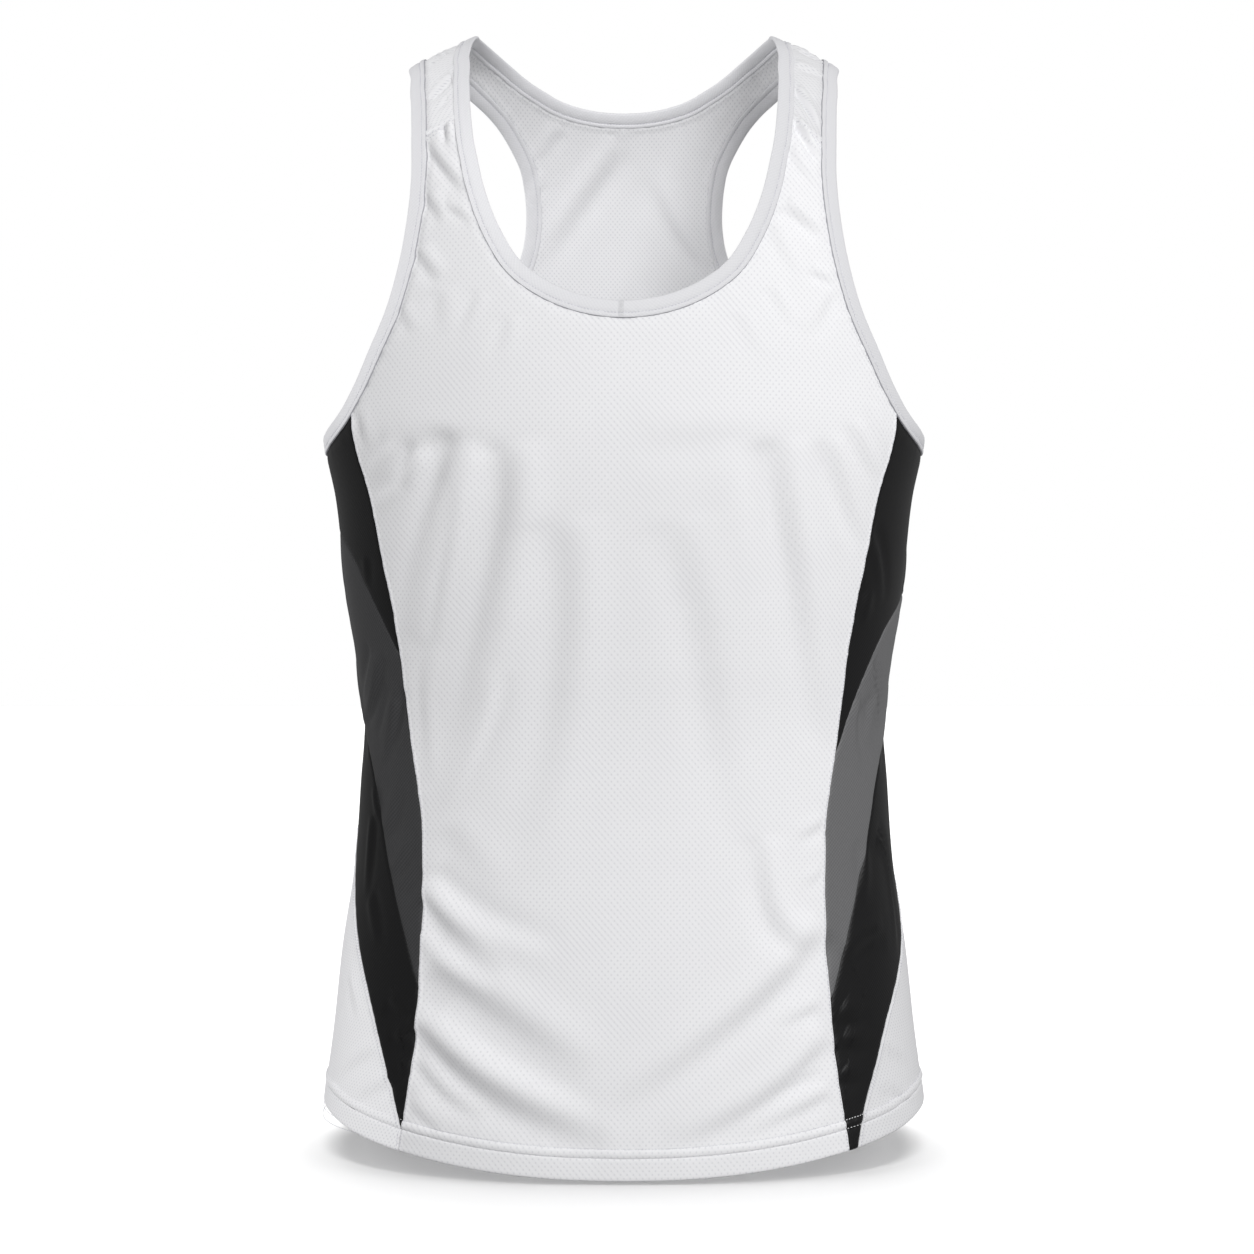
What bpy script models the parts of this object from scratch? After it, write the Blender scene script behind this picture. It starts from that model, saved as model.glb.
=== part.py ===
"""Running singlet, worn shape with no wearer: a hollow racerback top of eleven pieces of cloth.

Frame: metres, +Z up, the front faces -Y, +X is the viewer's right.
The origin is between the two straps, level with the shoulder line that holds the top up.

Every piece lies on one body form.  A place on the form is a pair (turn, height):
turn is in degrees round the body, 0 at the front centre, 90 at the +X side, 180 at the back centre.
"""
import bpy
import numpy as np

COLLECTION = "running_singlet"

PLY = 0.0012            # one layer of knit
HEM_PLY = 0.0022        # the turned hem, two layers
BINDING_PLY = 0.0022    # folded binding
HEM_DEPTH = 0.018       # how far the hem is turned up
HEM_STEP = 0.002        # height over which the hem thins to one layer
BINDING_WIDTH = 0.0108
GAP = 0.0003            # clear gap between neighbouring pieces at a seam
SLIVER = 0.0012         # smallest width left at the point of a tapered piece
DEG = np.pi / 180.0

# The body form, one row per level slice; square is how full the corners of the slice are.
# height, half_width, front_depth, back_depth, front_square, back_square
SLICES = (
    (-0.7050, 0.1940, 0.1280, 0.1170, 2.30, 2.30),
    (-0.6753, 0.1908, 0.1260, 0.1150, 2.30, 2.30),
    (-0.6215, 0.1838, 0.1220, 0.1110, 2.30, 2.30),
    (-0.5703, 0.1783, 0.1170, 0.1050, 2.30, 2.30),
    (-0.5191, 0.1706, 0.1110, 0.0980, 2.30, 2.30),
    (-0.4679, 0.1670, 0.1070, 0.0930, 2.30, 2.30),
    (-0.4308, 0.1648, 0.1070, 0.0920, 2.30, 2.30),
    (-0.3911, 0.1698, 0.1110, 0.0950, 2.30, 2.30),
    (-0.3399, 0.1771, 0.1180, 0.1010, 2.30, 2.30),
    (-0.2887, 0.1827, 0.1250, 0.1080, 2.30, 2.30),
    (-0.2503, 0.1900, 0.1275, 0.1120, 2.30, 2.30),
    (-0.2200, 0.1885, 0.1270, 0.1140, 2.30, 2.30),
    (-0.1800, 0.1850, 0.1240, 0.1140, 2.30, 2.25),
    (-0.1400, 0.1805, 0.1170, 0.1110, 2.25, 2.20),
    (-0.1000, 0.1745, 0.1070, 0.1050, 2.20, 2.20),
    (-0.0700, 0.1680, 0.0960, 0.0970, 2.20, 2.20),
    (-0.0480, 0.1592, 0.0840, 0.0870, 2.20, 2.20),
    (-0.0300, 0.1490, 0.0730, 0.0760, 2.20, 2.20),
    (-0.0158, 0.1358, 0.0640, 0.0660, 2.20, 2.20),
    (0.0034, 0.0953, 0.0550, 0.0560, 2.20, 2.20),
    (0.0146, 0.0713, 0.0480, 0.0480, 2.20, 2.20),
    (0.0266, 0.0483, 0.0400, 0.0400, 2.20, 2.20),
)

# Edge of the neck opening, front centre to back centre; the other half is its mirror.
# turn, height
NECK = (
    (0.0, -0.1780), (8.0, -0.1743), (14.5, -0.1650), (18.9, -0.1544), (23.4, -0.1343),
    (27.4, -0.1089), (30.5, -0.0829), (34.0, -0.0545), (37.5, -0.0332), (40.9, -0.0202),
    (47.1, -0.0101), (53.6, -0.0047), (70.3, 0.0028), (89.0, 0.0052), (107.4, 0.0055),
    (122.7, 0.0035), (131.7, 0.0010), (139.1, -0.0020), (146.6, -0.0062), (152.4, -0.0102),
    (157.5, -0.0142), (162.3, -0.0186), (169.3, -0.0231), (180.0, -0.0255),
)

# Edge of the +X armhole, from under the arm up the front, over the shoulder and down the back.
# turn, height
ARMHOLE = (
    (90.0, -0.2503), (73.5, -0.2478), (62.0, -0.2369), (56.9, -0.2232), (52.1, -0.2023),
    (47.9, -0.1788), (45.9, -0.1548), (45.2, -0.1301), (45.6, -0.1049), (46.8, -0.0855),
    (49.3, -0.0654), (54.6, -0.0440), (63.8, -0.0256), (75.0, -0.0183), (88.0, -0.0153),
    (101.4, -0.0136), (115.5, -0.0134), (127.8, -0.0160), (139.5, -0.0250), (146.0, -0.0337),
    (152.1, -0.0487), (155.2, -0.0607), (156.8, -0.0732), (157.7, -0.0889), (157.5, -0.1100),
    (154.5, -0.1380), (149.0, -0.1680), (140.0, -0.2000), (126.0, -0.2310), (108.0, -0.2465),
)

# Seam between the front and the side insert, the same on both sides.
# turn, height
FRONT_SEAM = (
    (42.8, -0.7050), (42.2, -0.6815), (41.2, -0.6293), (41.0, -0.5820), (42.2, -0.5346),
    (43.3, -0.5108), (44.1, -0.4868), (46.2, -0.4628), (48.8, -0.4388), (49.8, -0.4145),
    (49.7, -0.3900), (50.4, -0.3657), (51.4, -0.3415), (52.7, -0.3171), (54.1, -0.2929),
    (55.8, -0.2683), (57.0, -0.2470), (58.5, -0.2250),
)

# Seam between the side insert and the back: the back wraps forward low down.
# turn, height
REAR_SEAM = {
    "L": (
        (42.5, -0.7050), (41.9, -0.6720), (43.6, -0.6600), (48.8, -0.6297), (57.6, -0.5860),
        (70.0, -0.5432), (79.0, -0.5180), (90.0, -0.4870), (101.0, -0.4500), (109.0, -0.4100),
        (115.0, -0.3600), (120.0, -0.3000), (124.0, -0.2470), (126.0, -0.2250),
    ),
    "R": (
        (43.5, -0.7050), (44.7, -0.6790), (47.8, -0.6560), (52.6, -0.6330), (57.9, -0.6100),
        (65.2, -0.5880), (74.9, -0.5640), (84.0, -0.5380), (94.0, -0.5020), (103.0, -0.4600),
        (110.0, -0.4150), (115.5, -0.3600), (120.0, -0.3000), (124.0, -0.2470), (126.0, -0.2250),
    ),
}

# Seams across each insert, from beyond the front seam round to beyond the rear one.
# turn, height
UPPER_CROSS_SEAM = {
    "L": (
        (44.0, -0.4060), (50.0, -0.3868), (54.5, -0.3660), (58.7, -0.3485), (63.0, -0.3330),
        (69.0, -0.3205), (78.0, -0.3125), (90.0, -0.3060), (105.0, -0.2990), (130.0, -0.2900),
    ),
    "R": (
        (44.0, -0.4620), (49.6, -0.4410), (54.5, -0.4140), (60.1, -0.3880), (66.0, -0.3700),
        (75.0, -0.3580), (90.0, -0.3490), (105.0, -0.3410), (130.0, -0.3300),
    ),
}
LOWER_CROSS_SEAM = {
    "L": (
        (37.0, -0.6020), (41.3, -0.5830), (45.6, -0.5580), (50.3, -0.5345), (55.0, -0.5105),
        (60.0, -0.4810), (66.0, -0.4570), (74.2, -0.4400), (90.0, -0.4240), (105.0, -0.4120),
        (130.0, -0.3960),
    ),
    "R": (
        (37.0, -0.6160), (41.2, -0.5930), (46.6, -0.5590), (51.2, -0.5360), (56.2, -0.5120),
        (60.8, -0.4880), (66.0, -0.4640), (74.4, -0.4460), (90.0, -0.4310), (105.0, -0.4200),
        (130.0, -0.4050),
    ),
}

# The lower edge, front centre to back centre.
# turn, height
HEM = (
    (0.0, -0.6945), (11.0, -0.6938), (22.0, -0.6913), (31.0, -0.6880), (42.0, -0.6830),
    (55.0, -0.6770), (70.0, -0.6705), (90.0, -0.6680), (110.0, -0.6710), (138.0, -0.6810),
    (160.0, -0.6880), (180.0, -0.6900),
)

# Forward shoulder seam: a straight line across the front of each strap.
# turn, height
SHOULDER_SEAM = {
    "L": ((50.0, -0.0792), (30.0, -0.0521)),
    "R": ((50.0, -0.0907), (30.0, -0.0439)),
}

# Large folds: three places each runs through, its half width, and how far the cloth steps there.
# A positive step stands out on the fold's left, seen from outside as it runs, and sinks on its right.
# start_turn, start_height, mid_turn, mid_height, end_turn, end_height, half_width, step
FOLDS = (
    # hanging from the chest, -X side of the front
    (-29.2, -0.259, -36.2, -0.299, -48.2, -0.373, 0.0120, 0.0044),
    (-21.0, -0.262, -24.5, -0.342, -40.2, -0.476, 0.0130, 0.0028),
    (-25.0, -0.397, -29.5, -0.436, -37.8, -0.483, 0.0060, -0.0009),
    (-11.5, -0.307, -11.5, -0.392, -20.8, -0.517, 0.0150, 0.0020),
    (-37.0, -0.489, -32.0, -0.505, -23.8, -0.528, 0.0120, 0.0009),
    # hanging from the chest, +X side of the front
    (23.0, -0.260, 25.8, -0.330, 30.5, -0.438, 0.0150, -0.0014),
    (9.8, -0.307, 18.0, -0.402, 21.5, -0.492, 0.0150, 0.0017),
    (27.8, -0.260, 34.0, -0.337, 44.0, -0.441, 0.0115, 0.0032),
    (28.2, -0.496, 30.0, -0.546, 38.5, -0.557, 0.0090, 0.0026),
    # dragged across the front above the hem, -X side
    (-40.8, -0.520, -30.5, -0.541, -12.2, -0.562, 0.0090, -0.0024),
    (-41.0, -0.530, -33.2, -0.552, -22.8, -0.574, 0.0080, 0.0023),
    (-41.0, -0.552, -32.2, -0.571, -23.5, -0.584, 0.0055, -0.0014),
    (-38.8, -0.573, -22.5, -0.599, -6.0, -0.633, 0.0140, 0.0036),
    (-40.8, -0.596, -23.0, -0.628, -5.0, -0.655, 0.0080, -0.0020),
    (-39.0, -0.606, -24.8, -0.643, -1.5, -0.673, 0.0120, 0.0040),
    # dragged across the front above the hem, +X side
    (40.8, -0.550, 22.0, -0.599, -4.2, -0.657, 0.0120, -0.0036),
    (39.2, -0.615, 25.5, -0.648, 8.2, -0.673, 0.0095, -0.0030),
    # hanging from the racerback
    (-150.0, -0.200, -146.0, -0.320, -140.0, -0.450, 0.0120, 0.0022),
    (-168.0, -0.240, -163.0, -0.380, -158.0, -0.520, 0.0110, -0.0018),
    (178.0, -0.140, 176.0, -0.220, 173.0, -0.310, 0.0110, 0.0015),
    (168.0, -0.270, 163.0, -0.400, 167.0, -0.530, 0.0130, 0.0022),
    (152.0, -0.220, 148.0, -0.330, 152.0, -0.470, 0.0110, -0.0018),
    (138.0, -0.300, 134.0, -0.400, 131.0, -0.500, 0.0100, 0.0014),
    # drawn across the racerback under the neck
    (-179.5, -0.045, -169.8, -0.083, -161.5, -0.123, 0.0090, -0.0018),
    (162.2, -0.123, 169.2, -0.093, 172.8, -0.063, 0.0085, -0.0020),
    (-164.2, -0.035, -161.8, -0.043, -159.8, -0.054, 0.0060, -0.0007),
    # dragged across the back above the hem
    (-135.0, -0.550, -150.0, -0.585, -172.0, -0.615, 0.0090, 0.0024),
    (-134.0, -0.580, -148.0, -0.608, -166.0, -0.640, 0.0080, -0.0016),
    (-132.0, -0.605, -146.0, -0.632, -168.0, -0.658, 0.0080, 0.0020),
    (138.0, -0.570, 152.0, -0.605, 172.0, -0.640, 0.0095, -0.0024),
    (137.0, -0.598, 150.0, -0.626, 166.0, -0.658, 0.0075, 0.0015),
    (130.0, -0.625, 144.0, -0.648, 162.0, -0.668, 0.0075, -0.0019),
    # pinched at the waist on the inserts
    (-88.0, -0.395, -80.0, -0.425, -70.0, -0.445, 0.0080, 0.0015),
    (86.0, -0.410, 78.0, -0.438, 69.0, -0.452, 0.0080, -0.0015),
    (-112.0, -0.425, -103.0, -0.445, -93.0, -0.455, 0.0080, 0.0015),
    (113.0, -0.415, 104.0, -0.440, 94.0, -0.455, 0.0080, -0.0015),
)
FOLD_STEPS = 8          # straight steps along one fold
FOLD_ARC = 0.165        # metres of cloth to one radian of turn, for measuring folds
STEP_PEAK = 2.3316      # makes the highest place of a fold its full step

# Rows and columns of the piece grids.
HEM_ROWS = 2
FRONT_BODY_ROWS = 31
FRONT_STRAP_ROWS = 15
FRONT_COLUMNS = 10
BACK_BODY_ROWS = 30
BACK_YOKE_ROWS = 17
BACK_STRAP_ROWS = 15
BACK_COLUMNS = 12
INSERT_COLUMNS = 6
INSERT_ROWS = {"upper": 12, "grey": 16, "lower": 22}
BINDING_COLUMNS = 2
YOKE_SPLIT = 0.285      # height below the shoulders where the back's yoke rows begin
RACER_SPLIT = 0.078     # depth on the armhole where the back's strap rows begin
FINE = 12               # points per row of a table in a drawn curve

# name, red, green, blue
COLOURS = {
    "white": (0.86, 0.86, 0.88),
    "black": (0.012, 0.012, 0.014),
    "grey": (0.085, 0.085, 0.090),
}


def smooth(places, values, at):
    """Values of a smooth curve through a table column, at the places asked for."""
    gaps = np.diff(places)
    slopes = np.diff(values) / gaps
    bends = np.empty(len(values))
    bends[0] = slopes[0]
    bends[-1] = slopes[-1]
    bends[1:-1] = (slopes[:-1] * gaps[1:] + slopes[1:] * gaps[:-1]) / (gaps[1:] + gaps[:-1])
    at = np.clip(at, places[0], places[-1])
    row = np.clip(np.searchsorted(places, at) - 1, 0, len(gaps) - 1)
    share = (at - places[row]) / gaps[row]
    rise = values[row + 1] - values[row]
    start = bends[row] * gaps[row]
    end = bends[row + 1] * gaps[row]
    return values[row] + share * (start + share * (3 * rise - 2 * start - end + share * (start + end - 2 * rise)))


def column(table, index):
    return np.array([row[index] for row in table], dtype=float)


def on_form(places):
    """The bare body form at (turn, height) places."""
    turn = places[..., 0] * DEG
    height = places[..., 1]
    levels = column(SLICES, 0)
    front = np.cos(turn) >= 0
    half_width = smooth(levels, column(SLICES, 1), height)
    depth = np.where(front, smooth(levels, column(SLICES, 2), height), smooth(levels, column(SLICES, 3), height))
    square = np.where(front, smooth(levels, column(SLICES, 4), height), smooth(levels, column(SLICES, 5), height))
    reach = (np.abs(np.sin(turn)) ** square + np.abs(np.cos(turn)) ** square) ** (-1 / square)
    return np.stack([half_width * reach * np.sin(turn), -depth * reach * np.cos(turn), height], axis=-1)


def slopes_of(surface, places):
    """How a surface moves per degree of turn and per metre of height."""
    turn_step = np.array([0.02, 0.0])
    height_step = np.array([0.0, 0.00002])
    along_turn = (surface(places + turn_step) - surface(places - turn_step)) / 0.04
    along_height = (surface(places + height_step) - surface(places - height_step)) / 0.00004
    return along_turn, along_height


def outward(surface, places):
    along_turn, along_height = slopes_of(surface, places)
    normal = np.cross(along_turn, along_height)
    return normal / np.linalg.norm(normal, axis=-1, keepdims=True)


def fold_line(fold):
    """Places along one fold, a smooth arc through its three table places."""
    share = np.linspace(0.0, 1.0, FOLD_STEPS + 1)[:, None]
    start, middle, end = np.array(fold[0:2]), np.array(fold[2:4]), np.array(fold[4:6])
    pull = 2 * middle - (start + end) / 2
    return (1 - share) ** 2 * start + 2 * share * (1 - share) * pull + share ** 2 * end


def fold_lift(places):
    """How far the folds push the cloth out of the bare form."""
    lift = np.zeros(places.shape[:-1])
    for fold in FOLDS:
        line = fold_line(fold)
        nearest = np.full(lift.shape, np.inf)
        along = np.zeros(lift.shape)
        leftward = np.zeros(lift.shape)
        for step in range(FOLD_STEPS):
            offset = places - line[step]
            across = (offset[..., 0] + 180.0) % 360.0 - 180.0
            east = across * DEG * FOLD_ARC
            span = (line[step + 1] - line[step]) * np.array([DEG * FOLD_ARC, 1.0])
            share = np.clip((east * span[0] + offset[..., 1] * span[1]) / (span @ span), 0.0, 1.0)
            apart = np.hypot(east - share * span[0], offset[..., 1] - share * span[1])
            closer = apart < nearest
            nearest = np.where(closer, apart, nearest)
            along = np.where(closer, (step + share) / FOLD_STEPS, along)
            leftward = np.where(closer, np.sign(span[0] * offset[..., 1] - span[1] * east), leftward)
        swell = np.sin(np.pi * np.clip(along, 0.0, 1.0) ** 0.65) ** 0.7
        slope = leftward * nearest / fold[6]
        lift += fold[7] * swell * STEP_PEAK * slope * np.exp(-slope ** 2)
    return lift


def on_cloth(places):
    """The middle of the cloth at (turn, height) places, folds included."""
    return on_form(places) + outward(on_form, places) * fold_lift(places)[..., None]


def lengths(curve):
    steps = np.linalg.norm(np.diff(on_form(curve), axis=0), axis=1)
    return np.concatenate([[0.0], np.cumsum(steps)])


def drawn(rows, closed=False):
    """A smooth curve through table rows, as many close places."""
    points = np.array(rows, dtype=float)
    if closed:
        points = np.concatenate([points[-3:], points, points[:4]])
    run = lengths(points)
    first, last = (3, -4) if closed else (0, -1)
    at = np.linspace(run[first], run[last], FINE * len(rows) + 1)
    return np.stack([smooth(run, points[:, 0], at), smooth(run, points[:, 1], at)], axis=1)


def mirrored(curve):
    return curve * np.array([-1.0, 1.0])


def beside(curve, distance, closed=False):
    """A curve moved sideways over the form: to its left, seen from outside, if distance is positive."""
    course = np.gradient(curve, axis=0)
    if closed:
        course[0] = course[-1] = curve[1] - curve[-2]
    along_turn, along_height = slopes_of(on_form, curve)
    tangent = along_turn * course[:, :1] + along_height * course[:, 1:]
    tangent /= np.linalg.norm(tangent, axis=1, keepdims=True)
    left = np.cross(outward(on_form, curve), tangent) * distance
    turn_turn = np.sum(along_turn * along_turn, axis=1)
    turn_height = np.sum(along_turn * along_height, axis=1)
    height_height = np.sum(along_height * along_height, axis=1)
    left_turn = np.sum(left * along_turn, axis=1)
    left_height = np.sum(left * along_height, axis=1)
    scale = turn_turn * height_height - turn_height ** 2
    shift_turn = (left_turn * height_height - left_height * turn_height) / scale
    shift_height = (left_height * turn_turn - left_turn * turn_height) / scale
    return curve + np.stack([shift_turn, shift_height], axis=1)


def crossing(first, second):
    """Where two curves cross: the position along each, in steps."""
    start = first[:-1, None, :]
    run = first[1:, None, :] - start
    other = second[None, :-1, :]
    other_run = second[None, 1:, :] - other
    across = run[..., 0] * other_run[..., 1] - run[..., 1] * other_run[..., 0]
    across = np.where(np.abs(across) < 1e-15, 1e-15, across)
    apart = other - start
    on_first = (apart[..., 0] * other_run[..., 1] - apart[..., 1] * other_run[..., 0]) / across
    on_second = (apart[..., 0] * run[..., 1] - apart[..., 1] * run[..., 0]) / across
    hits = (on_first >= 0) & (on_first <= 1) & (on_second >= 0) & (on_second <= 1)
    row, other_row = np.argwhere(hits)[0]
    return row + on_first[row, other_row], other_row + on_second[row, other_row]


def sample(curve, positions):
    """Places on a curve at fractional positions along it."""
    steps = np.arange(len(curve))
    return np.stack([np.interp(positions, steps, curve[:, 0]), np.interp(positions, steps, curve[:, 1])], axis=1)


def stations(curve, start, end, count):
    """Positions from start to end with count equal steps of real length between them."""
    inside = np.arange(len(curve))
    low, high = min(start, end), max(start, end)
    positions = np.concatenate([[low], inside[(inside > low) & (inside < high)], [high]])
    run = lengths(sample(curve, positions))
    found = np.interp(np.linspace(0.0, run[-1], count + 1), run, positions)
    return found if start <= end else found[::-1]


def span(curve, start, end, count):
    """Places along a curve, count equal steps from where it crosses one curve to where it crosses another."""
    return sample(curve, stations(curve, crossing(curve, start)[0], crossing(curve, end)[0], count))


def straight(start, end, count):
    share = np.linspace(0.0, 1.0, count + 1)[:, None]
    return (1 - share) * start + share * end


def patch(bottom, top, left, right):
    """A grid of places between four curves that share their corners; left and right run upward."""
    columns = len(bottom)
    rows = len(left)
    across = np.linspace(0.0, 1.0, columns)[None, :, None]
    up = (lengths(left) / lengths(left)[-1] + lengths(right) / lengths(right)[-1])[:, None, None] / 2
    sides = (1 - across) * left[:, None, :] + across * right[:, None, :]
    ends = (1 - up) * bottom[None, :, :] + up * top[None, :, :]
    low = (1 - across) * bottom[0] + across * bottom[-1]
    high = (1 - across) * top[0] + across * top[-1]
    corners = (1 - up) * low + up * high
    grid = sides + ends - corners
    assert grid.shape[:2] == (rows, columns)
    return grid


def quads_of(grid):
    """Faces of a grid, turned so that they face out of the body."""
    rows, columns = grid.shape[:2]
    index = np.arange(rows * columns).reshape(rows, columns)
    quads = np.stack([index[:-1, :-1], index[:-1, 1:], index[1:, 1:], index[1:, :-1]], axis=-1).reshape(-1, 4)
    points = on_form(grid.reshape(-1, 2))
    sides = np.cross(points[quads[:, 1]] - points[quads[:, 0]], points[quads[:, 3]] - points[quads[:, 0]])
    facing = np.sum(sides * outward(on_form, grid.reshape(-1, 2))[quads[:, 0]])
    return quads if facing > 0 else quads[:, ::-1]


def joined(grids):
    """Places and faces of several grids sewn into one sheet wherever their edges touch."""
    places = np.concatenate([grid.reshape(-1, 2) for grid in grids])
    quads = []
    offset = 0
    for grid in grids:
        quads.append(quads_of(grid) + offset)
        offset += grid.shape[0] * grid.shape[1]
    keys = np.round(on_form(places) * 1e6).astype(int)
    _, first, same = np.unique(keys, axis=0, return_index=True, return_inverse=True)
    return places[first], same.reshape(-1)[np.concatenate(quads)]


def rim_of(quads):
    """Edges of the sheet that have a face on one side only."""
    edges = np.concatenate([quads[:, [k, (k + 1) % 4]] for k in range(4)])
    seen = {tuple(edge) for edge in edges}
    return [edge for edge in edges if (edge[1], edge[0]) not in seen]


def cloth(name, grids, colour, outside, inside):
    """A closed wall of cloth built on both sides of the sheet; inside may vary from place to place."""
    places, quads = joined(grids)
    middle = on_cloth(places)
    normal = outward(on_cloth, places)
    depth = inside(places) if callable(inside) else np.full(len(places), inside)
    outer = middle + normal * outside
    inner = middle - normal * depth[:, None]
    count = len(places)
    faces = [tuple(int(v) for v in quad) for quad in quads]
    faces += [tuple(int(v) + count for v in quad[::-1]) for quad in quads]
    faces += [(int(b), int(a), int(a) + count, int(b) + count) for a, b in rim_of(quads)]
    mesh = bpy.data.meshes.new(name)
    mesh.from_pydata(np.concatenate([outer, inner]).tolist(), [], faces)
    mesh.update()
    piece = bpy.data.objects.new(name, mesh)
    piece.data.materials.append(material(name, colour))
    bpy.data.collections[COLLECTION].objects.link(piece)
    return piece


def material(name, colour):
    made = bpy.data.materials.new(name + "_cloth")
    made.use_nodes = True
    shader = made.node_tree.nodes["Principled BSDF"]
    shader.inputs["Base Color"].default_value = (*COLOURS[colour], 1.0)
    shader.inputs["Roughness"].default_value = 0.85
    return made


def hem_height(turn):
    return smooth(column(HEM, 0), column(HEM, 1), np.abs(turn))


def hem_inside(places):
    """Depth of the wall inside the sheet: the turned hem lies on the inner side."""
    above = places[:, 1] - hem_height(places[:, 0])
    share = np.clip((above - HEM_DEPTH) / HEM_STEP, 0.0, 1.0)
    return PLY / 2 + (HEM_PLY - PLY) * (1 - share)


def hem_line(start_turn, end_turn, count):
    turns = np.linspace(start_turn, end_turn, count + 1)
    return np.stack([turns, hem_height(turns)], axis=1)


def risen(curve, body_rows):
    """Rows up a side that starts on the hem: the turned band first, then the body."""
    run = lengths(curve)
    above = curve[:, 1] - hem_height(curve[:, 0])
    top_of_band, top_of_step = np.interp([HEM_DEPTH, HEM_DEPTH + HEM_STEP], above, run)
    band = np.linspace(0.0, top_of_band, HEM_ROWS + 1)
    body = np.linspace(top_of_step, run[-1], body_rows + 1)
    at = np.concatenate([band, body])
    return np.stack([np.interp(at, run, curve[:, 0]), np.interp(at, run, curve[:, 1])], axis=1)


def upright(turn, bottom, top, count):
    return straight(np.array([turn, bottom]), np.array([turn, top]), count)


def seams(side):
    """Every seam and edge of one half of the top, drawn at positive turns."""
    whole_neck = [(-t, h) for t, h in NECK[:0:-1]] + list(NECK) + [(360.0 - t, h) for t, h in NECK[-2:-5:-1]]
    front_seam = drawn(FRONT_SEAM)
    rear_seam = drawn(REAR_SEAM[side])
    front_turn = np.interp(rear_seam[:, 1], front_seam[:, 1], front_seam[:, 0])
    rear_seam[:, 0] = np.maximum(rear_seam[:, 0], front_turn)
    shoulder = straight(np.array(SHOULDER_SEAM[side][0]), np.array(SHOULDER_SEAM[side][1]), FINE)
    return {
        "neck": drawn(whole_neck),
        "armhole": drawn(ARMHOLE, closed=True),
        "front_seam": front_seam,
        "rear_seam": rear_seam,
        "upper_cross": drawn(UPPER_CROSS_SEAM[side]),
        "lower_cross": drawn(LOWER_CROSS_SEAM[side]),
        "shoulder": shoulder,
        "front_centre": upright(0.0, -0.72, -0.10, 2),
        "back_centre": upright(180.0, -0.72, 0.01, 2),
        "hem": hem_line(0.0, 180.0, 18 * FINE),
        "racer_split": straight(np.array([150.0, -RACER_SPLIT]), np.array([178.0, -RACER_SPLIT]), 2),
    }


def neck_marks(lines):
    """Positions along the neck edge of the front centre, the shoulder seam and the back centre."""
    cut = beside(lines["neck"], -BINDING_WIDTH - GAP)
    return [crossing(cut, lines[name])[0] for name in ("front_centre", "shoulder", "back_centre")]


def armhole_marks(lines):
    """Positions along the armhole edge where the seams and the row split meet it."""
    cut = beside(lines["armhole"], BINDING_WIDTH + GAP, closed=True)
    return [crossing(cut, lines[name])[0] for name in ("front_seam", "shoulder", "racer_split", "rear_seam")]


def half_front(side):
    """Grids of one half of the front: the body and its strap."""
    lines = seams(side)
    neck = beside(lines["neck"], -BINDING_WIDTH - GAP)
    armhole = beside(lines["armhole"], BINDING_WIDTH + GAP, closed=True)
    side_seam = beside(lines["front_seam"], GAP / 2)
    shoulder = beside(lines["shoulder"], GAP / 2)
    centre, neck_shoulder, _ = neck_marks(lines)
    under, arm_shoulder, _, _ = armhole_marks(lines)
    inner = sample(neck, stations(lines["neck"], centre, neck_shoulder, FRONT_STRAP_ROWS))
    outer = sample(armhole, stations(lines["armhole"], under, arm_shoulder, FRONT_STRAP_ROWS))
    inner[-1] = sample(neck, crossing(neck, shoulder)[:1])
    outer[-1] = sample(armhole, crossing(armhole, shoulder)[:1])
    outer[0] = sample(armhole, crossing(armhole, side_seam)[:1])
    seam = span(side_seam, lines["hem"], armhole, 40 * FINE)
    hem = hem_line(0.0, seam[0, 0], FRONT_COLUMNS)
    middle = upright(0.0, hem[0, 1], inner[0, 1], 40 * FINE)
    waist_row = straight(inner[0], outer[0], FRONT_COLUMNS)
    strap_top = straight(inner[-1], outer[-1], FRONT_COLUMNS)
    body = patch(hem, waist_row, risen(middle, FRONT_BODY_ROWS), risen(seam, FRONT_BODY_ROWS))
    strap = patch(waist_row, strap_top, inner, outer)
    return [body, strap]


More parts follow.
